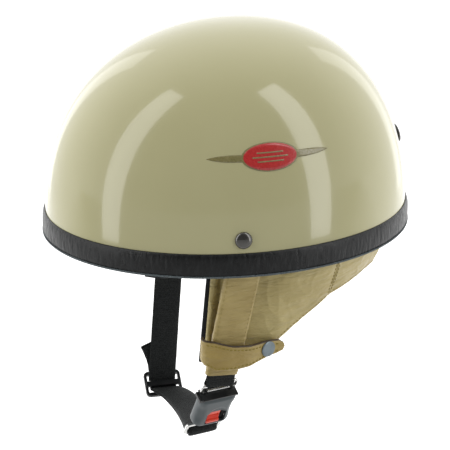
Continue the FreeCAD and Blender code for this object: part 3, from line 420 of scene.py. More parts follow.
def rear(height, inset=0.0):
    return dome(math.pi / 2, height, inset)


def rear_normal(height, step=0.5 * MM):
    slope = (rear(height + step) - rear(height - step)).normalized()
    return Vector((0, slope.z, -slope.y))


def turns(count, start=0.0, end=2 * math.pi):
    return [start + (end - start) * k / count for k in range(count + 1)]


def build_shell(around=256, up=72):
    """Outer skin, rolled lower edge and inner skin."""
    bm = bmesh.new()
    low = 1.5 * MM
    spin = turns(around)[:-1]
    heights = [math.sin(math.pi / 2 * k / up) for k in range(up + 1)]
    rows = []
    for inset, order in ((0.0, heights[::-1]), (SHELL_WALL, heights)):
        top = CROWN - inset
        for share in order:
            z = low + (top - low) * share
            rows.append([dome(turn, min(z, top - 1e-9), inset) for turn in spin])
        if inset == 0.0:
            rows.append([dome(turn, low - 0.5 * MM, 0.8 * MM) for turn in spin])
            rows.append([dome(turn, low - 0.5 * MM, 2.2 * MM) for turn in spin])
    skin(bm, rows)
    bmesh.ops.remove_doubles(bm, verts=[v for v in bm.verts if abs(v.co.x) < 0.2 * MM
                                        and v.co.z > CROWN - 5 * MM], dist=0.3 * MM)
    return piece("shell_gel_coated", bm, GEL, stands_for=["outer_shell"])


# Section of the folded trim, (inset from the dome, height): up its face, over the bevel, down behind
# the shell's skin, round the edge inside and back.
FOOT_DROP = 2.1
TRIM_FACE = [(1.2, -2.2), (-0.6, -2.05), (-1.5, -1.3), (-1.85, 0.6), (-1.95, 3.0), (-2.0, 6.0), (-2.0, 8.0),
             (-1.95, 10.0), (-1.85, 11.8), (-1.6, 13.2), (-1.25, 14.3), (-0.75, 15.2), (-0.25, 15.55)]
TRIM_BACK = [(-0.08, 15.2), (-0.08, 8.0), (-0.08, 1.2), (3.15, 1.0), (3.15, 8.0), (3.5, 8.6), (4.2, 8.5),
             (4.7, 7.6), (4.85, 5.0), (4.75, 1.0), (4.0, -1.6), (2.8, -2.15)]


def trim_wrinkle(along, height):
    """How far the leather stands off at one place: upright puckers, softer on the bevel."""
    pucker = noise.noise(Vector((along / (2.1 * MM), height / (9 * MM), 1.0)))
    fine = noise.noise(Vector((along / (0.95 * MM), height / (4 * MM), 5.0)))
    swell = noise.noise(Vector((along / (14 * MM), height / (20 * MM), 9.0)))
    soft = ease((14.6 * MM - height) / (3.0 * MM))
    return MM * (0.24 * pucker * soft + 0.15 * fine * soft + 0.18 * swell)


def build_trim(around=1080):
    bm = bmesh.new()
    rings, along, last = [], 0.0, None
    for turn in turns(around)[:-1]:
        here = dome(turn, 8 * MM)
        along += (here - last).length if last else 0.0
        last = here
        ring = []
        for k, (inset, height) in enumerate(TRIM_FACE):
            lift = trim_wrinkle(along, height * MM) * ease(k / 3) * ease((len(TRIM_FACE) - 1 - k) / 2)
            ring.append(dome(turn, height * MM, inset * MM - lift))
        ring += [dome(turn, height * MM, inset * MM) for inset, height in TRIM_BACK]
        rings.append(ring)
    skin(bm, rings, closed=True)
    return piece("edge_trim_leather", bm, BLACK_HIDE, stands_for=["edge_trim"])


def build_selvedge(around=1400):
    """The trim's frayed tape edge, showing as a thin pale line along its foot."""
    bm = bmesh.new()
    rings = []
    for k, turn in enumerate(turns(around)[:-1]):
        fray = noise.noise(Vector((k / 2.3, 0, 3))) * 0.22
        slow = noise.noise(Vector((k / 40, 2, 3))) * 0.2
        section = [(-1.95, 1.55 + fray + slow), (-2.25, 1.25 + fray), (-2.2, 0.4 + slow),
                   (-1.6, -0.15 + 0.6 * fray), (-1.0, -0.2), (-1.2, 0.6)]
        rings.append([dome(turn, (h - FOOT_DROP) * MM, i * MM) for i, h in section])
    skin(bm, rings, closed=True)
    return piece("trim_selvedge", bm, SELVEDGE)


# ---------------------------------------------------------------- badge and fasteners

BADGE_Y, BADGE_Z = 2.5 * MM, 81.5 * MM
BADGE_HALF_Y, BADGE_HALF_Z, BADGE_REACH, STRIPE_HALF = 21 * MM, 9.6 * MM, 45 * MM, 3.4 * MM


def decal(bm, side, rows, lift):
    """A thin sheet lying on the shell; rows hold (Y, Z) offsets from the badge's centre."""
    outer = [[on_side(BADGE_Y + y, BADGE_Z + z, -lift, side) for y, z in row] for row in rows]
    inner = [[on_side(BADGE_Y + y, BADGE_Z + z, 0.05 * MM, side) for y, z in row] for row in rows]
    solid(bm, [one + two[::-1] for one, two in zip(outer, inner)])


def oval_rows(scale, steps=48, across=9):
    rows = []
    for k in range(steps + 1):
        turn = math.pi * k / steps
        y, reach = scale * BADGE_HALF_Y * math.cos(turn), scale * BADGE_HALF_Z * math.sin(turn)
        rows.append([(y, reach * (2 * j / (across - 1) - 1)) for j in range(across)])
    return rows


def stripe_rows(end, steps=16):
    """A pinstripe from the oval out to a point."""
    rows = []
    for k in range(steps + 1):
        share = k / steps
        y = end * mix(BADGE_HALF_Y * 0.9, BADGE_REACH, share)
        half = STRIPE_HALF * 0.72 * (1 - share ** 3)
        rows.append([(y, half * (2 * j / 4 - 1)) for j in range(5)])
    return rows


def build_badge(side, word):
    bm = bmesh.new()
    for end in (-1, 1):
        decal(bm, side, stripe_rows(end), 0.18 * MM)
    decal(bm, side, oval_rows(1.0), 0.22 * MM)
    piece(f"badge_border_{word}", bm, BADGE_GOLD, stands_for=[f"badge_{word}"])
    bm = bmesh.new()
    decal(bm, side, oval_rows(0.93), 0.30 * MM)
    piece(f"badge_field_{word}", bm, BADGE_RED)
    bm = bmesh.new()
    for row in (-1, 0, 1):
        wide = 0.62 - 0.16 * abs(row)
        rows = [[(BADGE_HALF_Y * wide * (2 * k / 20 - 1), MM * (2.9 * row + 0.42 * (2 * j / 2 - 1)))
                 for j in range(3)] for k in range(21)]
        decal(bm, side, rows, 0.36 * MM)
    piece(f"badge_bars_{word}", bm, BADGE_GOLD)


RIVET_Y, RIVET_Z = -19.9 * MM, 25 * MM


def build_rivets():
    bm = bmesh.new()
    for side in (1, -1):
        place = axes(on_side(RIVET_Y, RIVET_Z, 0, side), side_normal(RIVET_Y, RIVET_Z, side))
        profile = dome_profile(6.2 * MM, 2.75 * MM, 0.35 * MM)
        profile += [(6.15 * MM, 0.1 * MM), (5.7 * MM, 0.02 * MM), (2 * MM, 0.02 * MM), (2 * MM, -6.5 * MM),
                    (3.6 * MM, -6.6 * MM), (3.4 * MM, -7.4 * MM), (0, -7.6 * MM)]
        lathe(bm, profile, place)
    rivets = piece("side_rivets", bm, DARK_CHROME, stands_for=["strap_rivets"])
    crease(rivets, 50)


def cap_profile(radius, rise, base):
    """A snap's cap: a nearly flat crown, rolled rim and the shank under it."""
    crown = [(radius * s, base + rise * (1 - 0.28 * s ** 4)) for s in (0, 0.3, 0.55, 0.72, 0.82)]
    rim = [(radius * (0.82 + 0.18 * math.sin(a)), base + rise * (0.33 + 0.55 * math.cos(a)))
           for a in (0.35, 0.7, 1.05, 1.4, 1.75, 2.1)]
    return crown + rim + [(radius * 0.9, base), (3.9 * MM, base), (3.9 * MM, base - 2.2 * MM),
                          (2.3 * MM, base - 2.2 * MM), (2.3 * MM, base - 0.5 * MM), (0, base - 0.5 * MM)]


# ---------------------------------------------------------------- hanging leather and its felt

FLAP = [(-17.8, 11.8, 6, -21.2, 19, -79), (-12, 11.8, 6, -13, 20, -84), (-5, 11.8, 6, -5, 19, -78),
        (2.5, 10.4, 6, 3, 17.5, -67), (10, 6.6, 6, 10, 19.6, -57.5), (18, 5.3, 6, 18, 20, -47.5),
        (27, 5.3, 6, 27, 20, -38)]
NECK = [(27, 5.3, 6, 27, 20, -38), (38, 5.3, 6, 38, 20, -33), (50, 5.3, 6, 50, 20, -30),
        (60, 5.3, 6, 60, 21, -31), (70, 5.3, 6, 70, 26, -36), (78, 5.3, 6, 78, 30, -40.5),
        (90, 5.3, 6, 90, 34, -44)]
LEATHER, LINING, LINING_GAP = 1.8, 4.0, 0.4


def round_rear(stations):
    other = [(180 - a, b, c, 180 - d, e, f) for a, b, c, d, e, f in stations[-2::-1]]
    return stations + other


def lined(stations, raised, reach=0.0):
    """Stations of the lining just inside a panel."""
    behind = LEATHER + LINING_GAP
    made = [(a, b + behind, c, d, e + behind, f + raised) for a, b, c, d, e, f in stations]
    if reach:
        a, b, c, d, e, f = made[0]
        made[0] = (a - reach, b, c, d - 1.3 * reach, e, f)
    return made


def hang(stations, u, v, inset=0.0, bulge=1.0):
    """A point of a hanging panel: u along the rim, v from the top down, inset inwards."""
    top_turn, top_in, top_z, low_turn, low_in, low_z = spline(stations, u)
    points = []
    for turn, back, z in ((top_turn, top_in, top_z), (low_turn, low_in, low_z)):
        turn = math.radians(turn)
        points.append(Vector(((115 - back) * math.cos(turn), (139 - back) * math.sin(turn), z)))
    middle = math.radians((top_turn + low_turn) / 2)
    radial = Vector((139 * math.cos(middle), 115 * math.sin(middle), 0)).normalized()
    return (mix(*points, v) + radial * (bulge * math.sin(math.pi * v) - inset)) * MM


def panel(bm, stations, gauge, columns, rows, relief, side=1, bulge=1.0):
    """A hanging panel with thickness. relief(u, v, point) is how far, in mm, its face moves in."""
    rings = []
    for j in range(rows + 1):
        v = j / rows
        outer, inner = [], []
        for i in range(columns + 1):
            u = i / columns
            face = relief(u, v, hang(stations, u, v)) if relief else 0.0
            edge = min(min(u, 1 - u) * columns, min(v, 1 - v) * rows)
            tuck = 0.28 * gauge * (1 - ease(edge / 2.0))
            outer.append(hang(stations, u, v, face + tuck, bulge))
            inner.append(hang(stations, u, v, face + gauge - tuck, bulge))
        rings.append(outer + inner[::-1])
    if side < 0:
        rings = mirror_points(rings)
    solid(bm, rings)


def leather_relief(columns_mm, gather=1.0, front_fold=0.0):
    """Folds of hanging leather: gathers under the trim, slanting drag lines, small creases."""
    def relief(u, v, point):
        along = u * columns_mm
        depth = v * 70
        fold_at = mix(12.0, 7.0, v)
        fold = front_fold * (1.9 * math.exp(-((along - fold_at) / 2.0) ** 2)
                             - 1.5 * math.exp(-((along - 0.45 * fold_at) / 3.0) ** 2)) * ease(v * 5)
        shirr = noise.noise(Vector((along / 5.0, depth / 60, 2.0))) * math.exp(-depth / 16)
        drag = noise.noise(Vector(((along - 0.45 * depth) / 17, (depth + 0.3 * along) / 46, 7.0)))
        small = noise.noise(Vector(((along - 0.8 * depth) / 5.2, (depth + 0.5 * along) / 13, 4.0)))
        slanting = Vector(((along - 0.5 * depth) / 11, (depth + 0.4 * along) / 24, 11.0))
        sharp = 1 - abs(noise.noise(slanting)) * 2.4
        calm = ease(depth / 6)
        level = noise.noise(Vector((along / 7.5, depth / 2.1, 21.0))) * math.exp(-((along - 9) / 9) ** 2)
        return (0.9 + gather * (1.5 * shirr * calm + 0.75 * drag + 0.22 * small) - 0.4 * max(0.0, sharp) ** 3
                + fold + 0.45 * front_fold * level * calm)
    return relief


def stitch_line(bm, points, normals, pitch=3.1, length=2.3, radius=0.27):
    """Thread along a line: short capsules that dip into the leather at both ends (mm)."""
    reach = [0.0]
    for one, two in zip(points, points[1:]):
        reach.append(reach[-1] + (two - one).length / MM)

    def at(goal):
        i = 0
        while i < len(points) - 2 and reach[i + 1] < goal:
            i += 1
        gap = reach[i + 1] - reach[i]
        share = min(1.0, (goal - reach[i]) / gap) if gap else 0.0
        return mix(points[i], points[i + 1], share), mix(normals[i], normals[i + 1], share)

    start = 0.6
    while start + length < reach[-1]:
        rings = []
        for k in range(7):
            share = k / 6
            spot, out = at(start + length * share)
            ahead, _ = at(start + length * share + 0.05)
            along = (ahead - spot).normalized()
            out = out.normalized()
            across = along.cross(out).normalized()
            rise = 0.24 * math.sin(math.pi * share) ** 0.7 - 0.12
            size = radius * (0.45 + 0.55 * math.sin(math.pi * share) ** 0.5)
            rings.append([spot + (out * (rise + size * math.sin(a)) + across * (size * math.cos(a))) * MM
                          for a in (math.pi * 2 * m / 6 for m in range(6))])
        made = skin(bm, rings)
        bm.faces.new(made[0])
        bm.faces.new(made[-1][::-1])
        start += pitch


def panel_line(stations, spots, relief, side=1):
    """Points and outward normals on a panel's face along a list of (u, v) spots."""
    points, normals = [], []
    for u, v in spots:
        face = relief(u, v, hang(stations, u, v))
        spot = hang(stations, u, v, face - 0.05)
        out = spot - hang(stations, u, v, face + 2.0)
        points.append(Vector((side * spot.x, spot.y, spot.z)))
        normals.append(Vector((side * out.x, out.y, out.z)).normalized())
    return points, normals


def straight(u0, v0, u1, v1, steps=60):
    return [(mix(u0, u1, k / steps), mix(v0, v1, k / steps)) for k in range(steps + 1)]


FLAP_RUN_MM, NECK_RUN_MM = 105.0, 285.0


def build_flap(side, word):
    relief = leather_relief(FLAP_RUN_MM, front_fold=1.0)
    bm = bmesh.new()
    panel(bm, FLAP, LEATHER, 110, 90, relief, side)
    flap = piece(f"ear_flap_leather_{word}", bm, TAN, stands_for=[f"ear_flap_{word}"])
    bm = bmesh.new()
    for spots in (straight(0.0, 0.965, 1.0, 0.955, 120), straight(0.975, 0.06, 0.975, 0.93)):
        stitch_line(bm, *panel_line(FLAP, spots, relief, side))
    seam = piece(f"ear_flap_stitches_{word}", bm, THREAD)
    felt = leather_relief(FLAP_RUN_MM, 0.5)
    bm = bmesh.new()
    panel(bm, lined(FLAP, 1.0, 1.4), LINING - 0.7, 60, 50, lambda u, v, p: felt(u, v, p) - 0.1, side)
    lining = piece(f"ear_lining_felt_{word}", bm, FELT, stands_for=[f"ear_lining_{word}"])


def build_neck():
    stations = round_rear(NECK)
    relief = leather_relief(NECK_RUN_MM, 1.1)
    bm = bmesh.new()
    panel(bm, stations, LEATHER, 300, 48, relief)
    neck = piece("neck_panel_leather", bm, TAN, stands_for=["neck_panel"])
    bm = bmesh.new()
    for spots in (straight(0.0, 0.93, 1.0, 0.93, 260), straight(0.008, 0.08, 0.008, 0.9),
                  straight(0.992, 0.08, 0.992, 0.9)):
        stitch_line(bm, *panel_line(stations, spots, relief))
    seam = piece("neck_panel_stitches", bm, THREAD)
    felt = leather_relief(NECK_RUN_MM, 0.5)
    bm = bmesh.new()
    panel(bm, round_rear(lined(NECK, 2.0)), LINING - 0.7, 160, 24,
          lambda u, v, p: felt(u, v, p) - 0.1)
    lining = piece("neck_lining_felt", bm, FELT, stands_for=["neck_lining"])

# ---------------------------------------------------------------- straps

WEB_WIDTH, WEB_GAUGE = 23 * MM, 1.3 * MM


def web_ring(spot, along, across, width, gauge, s, rib, columns=14):
    """One section of webbing: ribbed faces and round selvedges."""
    side = (across - along * across.dot(along)).normalized()
    face = side.cross(along)
    outer, inner = [], []
    for j in range(columns + 1):
        x = -1 + 2 * j / columns
        x = math.copysign(1 - (1 - abs(x)) ** 1.5, x)
        thin = math.sqrt(max(0.0, 1 - abs(x) ** 8)) * 0.86 + 0.14
        swell = 1 + (rib * math.sin(2 * math.pi * s / (1.9 * MM) + 0.5 * math.sin(5 * x))
                     if abs(x) < 0.9 else 0.3 * rib)
        half = gauge / 2 * thin * swell
        outer.append(spot + side * (x * width / 2) + face * half)
        inner.append(spot + side * (x * width / 2) - face * half)
    return outer + inner[::-1]


def webbing(bm, stations, width=WEB_WIDTH, gauge=WEB_GAUGE, rib=0.30, pitch=0.36 * MM, flutter=0.12):
    """A length of webbing through (point, across) stations."""
    cut, length = even(stations, pitch)
    rings = []
    for k, (spot, across) in enumerate(cut):
        along = (cut[min(k + 1, len(cut) - 1)][0] - cut[max(k - 1, 0)][0]).normalized()
        s = length * k / (len(cut) - 1)
        wide = width * (1 + 0.012 * noise.noise(Vector((s / (7 * MM), width * 900, 0))))
        side = (across - along * across.dot(along)).normalized()
        drift = side.cross(along) * (flutter * MM * noise.noise(Vector((s / (16 * MM), 4, 1))))
        rings.append(web_ring(spot + drift, along, across, wide, gauge, s, rib))
    solid(bm, rings)


def frame_at(origin, *spins):
    """A frame whose x, y, z first lie along world Y, Z and X and are then turned by spins."""
    base = Matrix(((0, 0, 1), (1, 0, 0), (0, 1, 0))).to_4x4()
    for degrees, axis in spins:
        base = Matrix.Rotation(math.radians(degrees), 4, axis) @ base
    return Matrix.Translation(Vector(origin) * MM) @ base


# Buckle frame: x across the strap to the rear, y up the strap, z outward.
BUCKLE = frame_at((95.5, -33.8, -99.7), (31.0, "Y"), (11.0, "Z"))
SLIDER = frame_at((-86.0, -31.0, -177.0), (-53.0, "Y"), (-3.0, "Z"))


def in_buckle(x, y, z):
    return BUCKLE @ (Vector((x, y, z)) * MM)


def in_slider(x, y, z):
    return SLIDER @ (Vector((x, y, z)) * MM)


def way(place, *direction):
    return (place.to_3x3() @ Vector(direction)).normalized()


RING_EYE = in_buckle(-0.9, 10.4, -1.8)
ACROSS_EYE = way(BUCKLE, 1, 0, 0)
STRAP_RIM = Vector((106.9, -18.4, -1.5)) * MM
RUN = (RING_EYE - STRAP_RIM).normalized()
DOUBLE_SHARE = 0.62
INSIDE_TOP = ((37.0, 4.45), (19.0, 4.45), (10.0, 6.85))
ACROSS_RIVET = Vector((0, 0, 1)).cross(side_normal(RIVET_Y, RIVET_Z)).normalized()


def strap_across(share):
    across = mix(Vector((0.06, 1, 0)), ACROSS_EYE, share ** 2)
    return (across - RUN * across.dot(RUN)).normalized()


def strap_face(share):
    return RUN.cross(strap_across(share)).normalized()


def inside_stations(side):
    """The strap's end riveted inside the shell."""
    across = Vector((side * ACROSS_RIVET.x, ACROSS_RIVET.y, 0))
    made = []
    for z, inset in INSIDE_TOP:
        spot = on_side(RIVET_Y, z * MM, 0, side)
        made.append((spot - Vector((side * inset * MM, 0, 0)), across))
    return made


def build_near_strap():
    """Down from the rivet, round the ring's bar and back up inside the sleeve."""
    layer = WEB_GAUGE / 2 + 0.05 * MM
    eye = 1.35 * MM + WEB_GAUGE / 2
    side = (ACROSS_EYE - RUN * ACROSS_EYE.dot(RUN)).normalized()
    out = RUN.cross(side).normalized()
    double = strap_across(DOUBLE_SHARE)
    stations = inside_stations(1) + [
        (STRAP_RIM + strap_face(0) * layer, strap_across(0)),
        (mix(STRAP_RIM, RING_EYE, 0.3) + strap_face(0.3) * layer, strap_across(0.3)),
        (mix(STRAP_RIM, RING_EYE, DOUBLE_SHARE) + strap_face(DOUBLE_SHARE) * layer, double),
        (RING_EYE - RUN * 8 * MM + out * layer, side)]
    for degrees in range(0, 181, 30):
        turn = math.radians(degrees)
        stations.append((RING_EYE + (out * math.cos(turn) + RUN * math.sin(turn)) * eye, side))
    stations += [(RING_EYE - RUN * 8 * MM - out * layer, side),
                 (mix(STRAP_RIM, RING_EYE, DOUBLE_SHARE) - strap_face(DOUBLE_SHARE) * layer, double)]
    bm = bmesh.new()
    webbing(bm, stations, flutter=0.0)
    piece("near_strap_webbing", bm, WEBBING, stands_for=["strap_left_webbing"])


def build_sleeve():
    """Leather sewn round the near strap: a soft flat tube, open at both ends."""
    cut, length = even([(mix(STRAP_RIM, RING_EYE, s), strap_across(s))
                        for s in (-0.032, 0.3, 0.62, 0.915)], 0.8 * MM)
    rings = []
    for outward, order in ((True, cut), (False, cut[::-1])):
        for k, (spot, across) in enumerate(order):
            share = k / (len(order) - 1) if outward else 1 - k / (len(order) - 1)
            side = (across - RUN * across.dot(RUN)).normalized()
            face = side.cross(RUN)
            ring = []
            for m in range(64):
                turn = 2 * math.pi * m / 64
                x = math.copysign(abs(math.cos(turn)) ** 0.28, math.cos(turn))
                y = math.copysign(abs(math.sin(turn)) ** 0.55, math.sin(turn))
                wide, deep = (12.7, 3.0) if outward else (11.75, 1.62)
                lift = 0.0
                if outward:
                    s = length * share / MM
                    lift = (0.34 * noise.noise(Vector((s / 7, x * 1.3, 1.0 + y)))
                            + 0.16 * noise.noise(Vector((s / 2.6, x * 3.0, 4.0 + y)))
                            - 0.25 * max(0.0, 1 - abs(noise.noise(Vector((s / 11 + 0.5 * x, x * 2, 8)))) * 5))
                    lift -= 0.35 * (1 - ease(min(share, 1 - share) * length / (1.2 * MM)))
                ring.append(spot + side * (x * (wide + 0.4 * lift)) * MM
                            + face * (y * (deep + lift)) * MM)
            rings.append(ring)
    bm = bmesh.new()
    skin(bm, rings, closed=True)
    sleeve = piece("near_strap_sleeve", bm, TAN_STRAP, stands_for=["leather_sleeve_left"])
    bm = bmesh.new()
    for edge in (-1, 1):
        points, normals = [], []
        for k in range(8, len(cut) - 2):
            spot, across = cut[k]
            side = (across - RUN * across.dot(RUN)).normalized()
            face = side.cross(RUN)
            lean = 1 if face.x > 0 else -1
            points.append(spot + side * (edge * 10.6 * MM) + face * (lean * 2.72 * MM))
            normals.append(face * lean)
        stitch_line(bm, points, normals, radius=0.11, pitch=3.4)
    seam = piece("near_strap_sleeve_stitches", bm, THREAD)


ENTRY = in_slider(0, 6.2, 0.9)
FAR_KINK = Vector((-101.5, -21.0, -78.0)) * MM
FAR_RUN = (ENTRY - FAR_KINK).normalized()
FAR_SIDE = (Vector((0, 1, -0.05)) - FAR_RUN * Vector((0, 1, -0.05)).dot(FAR_RUN)).normalized()
TAIL_BACK = (-FAR_RUN).cross(FAR_SIDE).normalized()


def build_far_strap():
    stations = inside_stations(-1) + [(Vector((-107.2, -18.2, -3.0)) * MM, Vector((-0.06, 1, 0))),
                                      (mix(Vector((-107.2, -18.2, -3.0)) * MM, FAR_KINK, 0.5),
                                       Vector((-0.03, 1, 0))),
                                      (FAR_KINK, FAR_SIDE), (mix(FAR_KINK, ENTRY, 0.5), FAR_SIDE),
                                      (ENTRY, FAR_SIDE), (ENTRY + FAR_RUN * 3 * MM, FAR_SIDE)]
    bm = bmesh.new()
    webbing(bm, stations, rib=0.12)
    piece("far_strap_webbing", bm, WEBBING, stands_for=["strap_right_webbing"])


def build_tail():
    """The strap's free end, folded over and sewn, leaning out forward from the adjuster."""
    def spot(along, drift, clear):
        return ENTRY + (-FAR_RUN * along - FAR_SIDE * drift + TAIL_BACK * clear) * MM

    def across(degrees):
        turn = math.radians(degrees)
        return FAR_SIDE * math.cos(turn) - FAR_RUN * math.sin(turn)

    run = [(5, 0.5, 2.4, 0), (13, 2, 2.6, 8), (21, 5, 2.8, 18), (28, 8.6, 3.0, 28)]
    bm = bmesh.new()
    webbing(bm, [(spot(a, d, c), across(t)) for a, d, c, t in run], 22 * MM, 0.95 * MM, 0.2, flutter=0)
    fold = [(19, 4.2, 3.75, 16), (24, 6.4, 3.85, 22), (28.6, 8.8, 3.9, 28), (29.3, 9.2, 3.5, 28),
            (29.2, 9.2, 3.05, 28)]
    webbing(bm, [(spot(a, d, c), across(t)) for a, d, c, t in fold], 22 * MM, 0.75 * MM, 0.2, flutter=0)
    piece("strap_tail_fold", bm, WEBBING, "slider", ["strap_tail"])


LOOP_EXIT = in_slider(1.0, -7.8, 2.9)
LOOP_RUN = in_buckle(-2.0, -50.4, 0) - LOOP_EXIT


def loop_point(share):
    """The chin loop from the adjuster to the tongue: it sags and bows to the rear."""
    return LOOP_EXIT + LOOP_RUN * share + Vector((0, 8.0 * math.sin(math.pi * share ** 0.7),
                                                  -12.0 * share * (1 - share))) * MM


def loop_across(share):
    across = mix(way(SLIDER, 1, 0, 0), way(BUCKLE, 1, 0, 0), share)
    across.z += 0.32 * math.sin(math.pi * share)
    return across.normalized()


def build_loop():
    """Two layers of webbing under the chin; the lower one is shifted a little to one side, and its sewn fold is
    not built.
    """
    path = [(in_slider(0, y, z), loop_across(0.0)) for y, z in ((-0.4, -2.6), (-3.5, -2.6))]
    shares = (0, 0.08, 0.16, 0.26, 0.36, 0.48, 0.6, 0.72, 0.84, 0.965)
    path += [(loop_point(s), loop_across(s)) for s in shares]
    cut, _ = even(path, 3 * MM)
    bm = bmesh.new()
    for lift, shift in ((0.72, 0.0), (-0.72, 0.7)):
        stations = []
        for k, (spot, across) in enumerate(cut):
            along = (cut[min(k + 1, len(cut) - 1)][0] - cut[max(k - 1, 0)][0]).normalized()
            side = (across - along * across.dot(along)).normalized()
            face = side.cross(along)
            stations.append((spot + face * (lift * MM) + side * (shift * MM * ease(k / 6)), across))
        webbing(bm, stations, WEB_WIDTH - 0.8 * MM, 1.25 * MM, 0.15, flutter=0.0)
    loop = piece("chin_loop_webbing", bm, WEBBING, None, ["chin_strap_loop"])
    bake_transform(loop)


def build_tongue_wrap():
    """Webbing rolled round the tongue's bar."""
    bm = bmesh.new()
    stations = []
    for degrees in range(-150, 151, 15):
        turn = math.radians(degrees)
        stations.append((in_buckle(-2.0, -46.4 + 2.85 * math.cos(turn), 2.85 * math.sin(turn)), ACROSS_EYE))
    webbing(bm, stations, WEB_WIDTH, 1.8 * MM, 0.12, flutter=0.0)
    piece("tongue_wrap_webbing", bm, WEBBING, "tongue", ["tongue_webbing"])


# ---------------------------------------------------------------- strap tabs

TAB_RUN = [(98.6, -45.9), (100.2, -46.9), (102.4, -46.9), (104.6, -46.2), (106.4, -44.4), (108.2, -40.4),
           (109.1, -34), (109.2, -26), (107.8, -15), (104.6, -6), (101.5, 2), (100, 9), (99.4, 16.5)]
TAB_TOP = [(-46.9, -52), (-40, -52.6), (-27, -57), (-13, -59.2), (3, -59.6), (11, -60.6), (14.6, -63.2),
           (15.7, -66.4)]
TAB_LOW = [(-46.9, -71), (-39, -75.6), (-26, -76.1), (-13, -75.3), (2, -72), (9, -71), (14, -69.2),
           (15.7, -66.4)]
TAB_GAUGE = 2.0
TAB_EDGE = [(-1.02, -0.5), (-0.7, 0.12), (0.7, 0.12), (1.06, -0.5), (1.0, -0.75), (-1.0, -0.75)]   # out and up, mm
SNAP_Y, SNAP_Z = 1.5, -65.6


def height_on(outline, along):
    for (y0, z0), (y1, z1) in zip(outline, outline[1:]):
        if along <= y1:
            return mix(z0, z1, max(0.0, (along - y0) / (y1 - y0)))
    return outline[-1][1]


def tab_spot(share, v, inset=0.0):
    """A place on the tab's middle surface: share along its run, v from top to bottom (mm)."""
    x, y = spline(TAB_RUN, share)
    ax, ay = spline(TAB_RUN, min(1.0, share + 0.004))
    bx, by = spline(TAB_RUN, max(0.0, share - 0.004))
    out = Vector((ay - by, bx - ax, 0)).normalized()
    along = min(y, 15.7)
    top, low = height_on(TAB_TOP, along), height_on(TAB_LOW, along)
    z = mix(top, low, v)
    dish = 0.5 * math.sin(math.pi * v)
    ripple = (0.35 * noise.noise(Vector((y / 9, z / 7, 3)))
              + 0.16 * noise.noise(Vector((y / 3.2, z / 2.6, 6)))
              + 0.3 * noise.noise(Vector((y / 24, z / 5, 8))))
    press = math.exp(-((y - SNAP_Y) ** 2 + (z - SNAP_Z) ** 2) / 60)
    lift = (dish + ripple) * (1 - press) - inset
    return Vector((x, y, z)) + out * lift, out


def build_tab(side, word, columns=150, rows=40):
    def flip(p):
        return Vector((side * p.x, p.y, p.z))

    last = 0.982
    rings = []
    for k in range(columns + 1):
        share = last * k / columns
        outer, inner = [], []
        for j in range(rows + 1):
            v = j / rows
            edge = min(j, rows - j) / 2.0
            tuck = 0.5 * (1 - ease(min(edge, (columns - k) / 2.0)))
            spot, out = tab_spot(share, v)
            outer.append(flip(spot + out * (TAB_GAUGE / 2 - tuck)) * MM)
            inner.append(flip(spot - out * (TAB_GAUGE / 2 - tuck)) * MM)
        rings.append(outer + inner[::-1])
    bm = bmesh.new()
    solid(bm, rings)
    tab = piece(f"tab_leather_{word}", bm, TAN_TAB, None, [f"tab_{word}"])
    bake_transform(tab)

    bm = bmesh.new()
    for v_off in (3.0, -2.0):
        points, normals = [], []
        for k in range(160):
            share = mix(0.30, 0.955, k / 159)
            top, _ = tab_spot(share, 0.0)
            low, _ = tab_spot(share, 1.0)
            tall = max(1.0, (top - low).length)
            v = v_off / tall if v_off > 0 else 1 + v_off / tall
            spot, out = tab_spot(share, v, 0)
            points.append(flip(spot + out * (TAB_GAUGE / 2 - 0.03)) * MM)
            normals.append(flip(out))
        stitch_line(bm, points, normals, pitch=3.0, length=2.4, radius=0.48)
    for share, drop, sway in ((0.80, 3.6, 1.5), (0.845, 3.0, 2.2)):
        if side > 0:
            low, out = tab_spot(share, 1.0)
            rings = []
            for k in range(9):
                t = k / 8
                hang = Vector((0, sway * t ** 2, 1.4 - (1.4 + drop) * t))
                middle = low + out * (1.1 + 0.3 * math.sin(3 * t)) + hang
                rings.append([(middle + Vector((0.14 * math.cos(a), 0.14 * math.sin(a), 0))) * MM
                              for a in (2 * math.pi * m / 6 for m in range(6))])
            skin(bm, rings)
    piece(f"tab_stitches_{word}", bm, THREAD, f"tab_{word}")
    bm = bmesh.new()
    rings = []
    for k in range(columns + 1):
        spot, out = tab_spot(last * k / columns, 0.0)
        rings.append([flip(spot + out * x + Vector((0, 0, z))) * MM for x, z in TAB_EDGE])
    skin(bm, rings)
    edge = piece(f"tab_raw_edge_{word}", bm, RAW_EDGE, None)
    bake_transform(edge)

    bm = bmesh.new()
    for (x0, y0), (x1, y1) in zip(TAB_RUN, TAB_RUN[1:]):
        if y0 <= SNAP_Y <= y1:
            share = (SNAP_Y - y0) / (y1 - y0)
            spot = Vector((mix(x0, x1, share), SNAP_Y, SNAP_Z))
            normal = Vector((y1 - y0, x0 - x1, 0)).normalized()
    lathe(bm, cap_profile(6 * MM, 1.2 * MM, 1.35 * MM), axes(flip(spot) * MM, flip(normal)))
    snap = piece(f"tab_snap_cap_{word}", bm, SNAP_STEEL, f"tab_{word}", [f"tab_snap_{word}"])
    crease(snap, 45)


# ---------------------------------------------------------------- buckle

HALF, LENGTH, CORNER = 14.5, 34.0, 4.6


def half_at(y):
    """Half the buckle's width at one place: its lower corners are round."""
    low = -LENGTH + CORNER
    half = HALF
    if y < low:
        half -= CORNER - math.sqrt(max(0.0, CORNER ** 2 - (low - y) ** 2))
    return half


def steps(*spans):
    """Evenly spaced lines through several spans, each (start, end, count)."""
    lines = []
    for start, end, count in spans:
        lines += [mix(start, end, k / count) for k in range(count)]
    return lines + [spans[-1][1]]


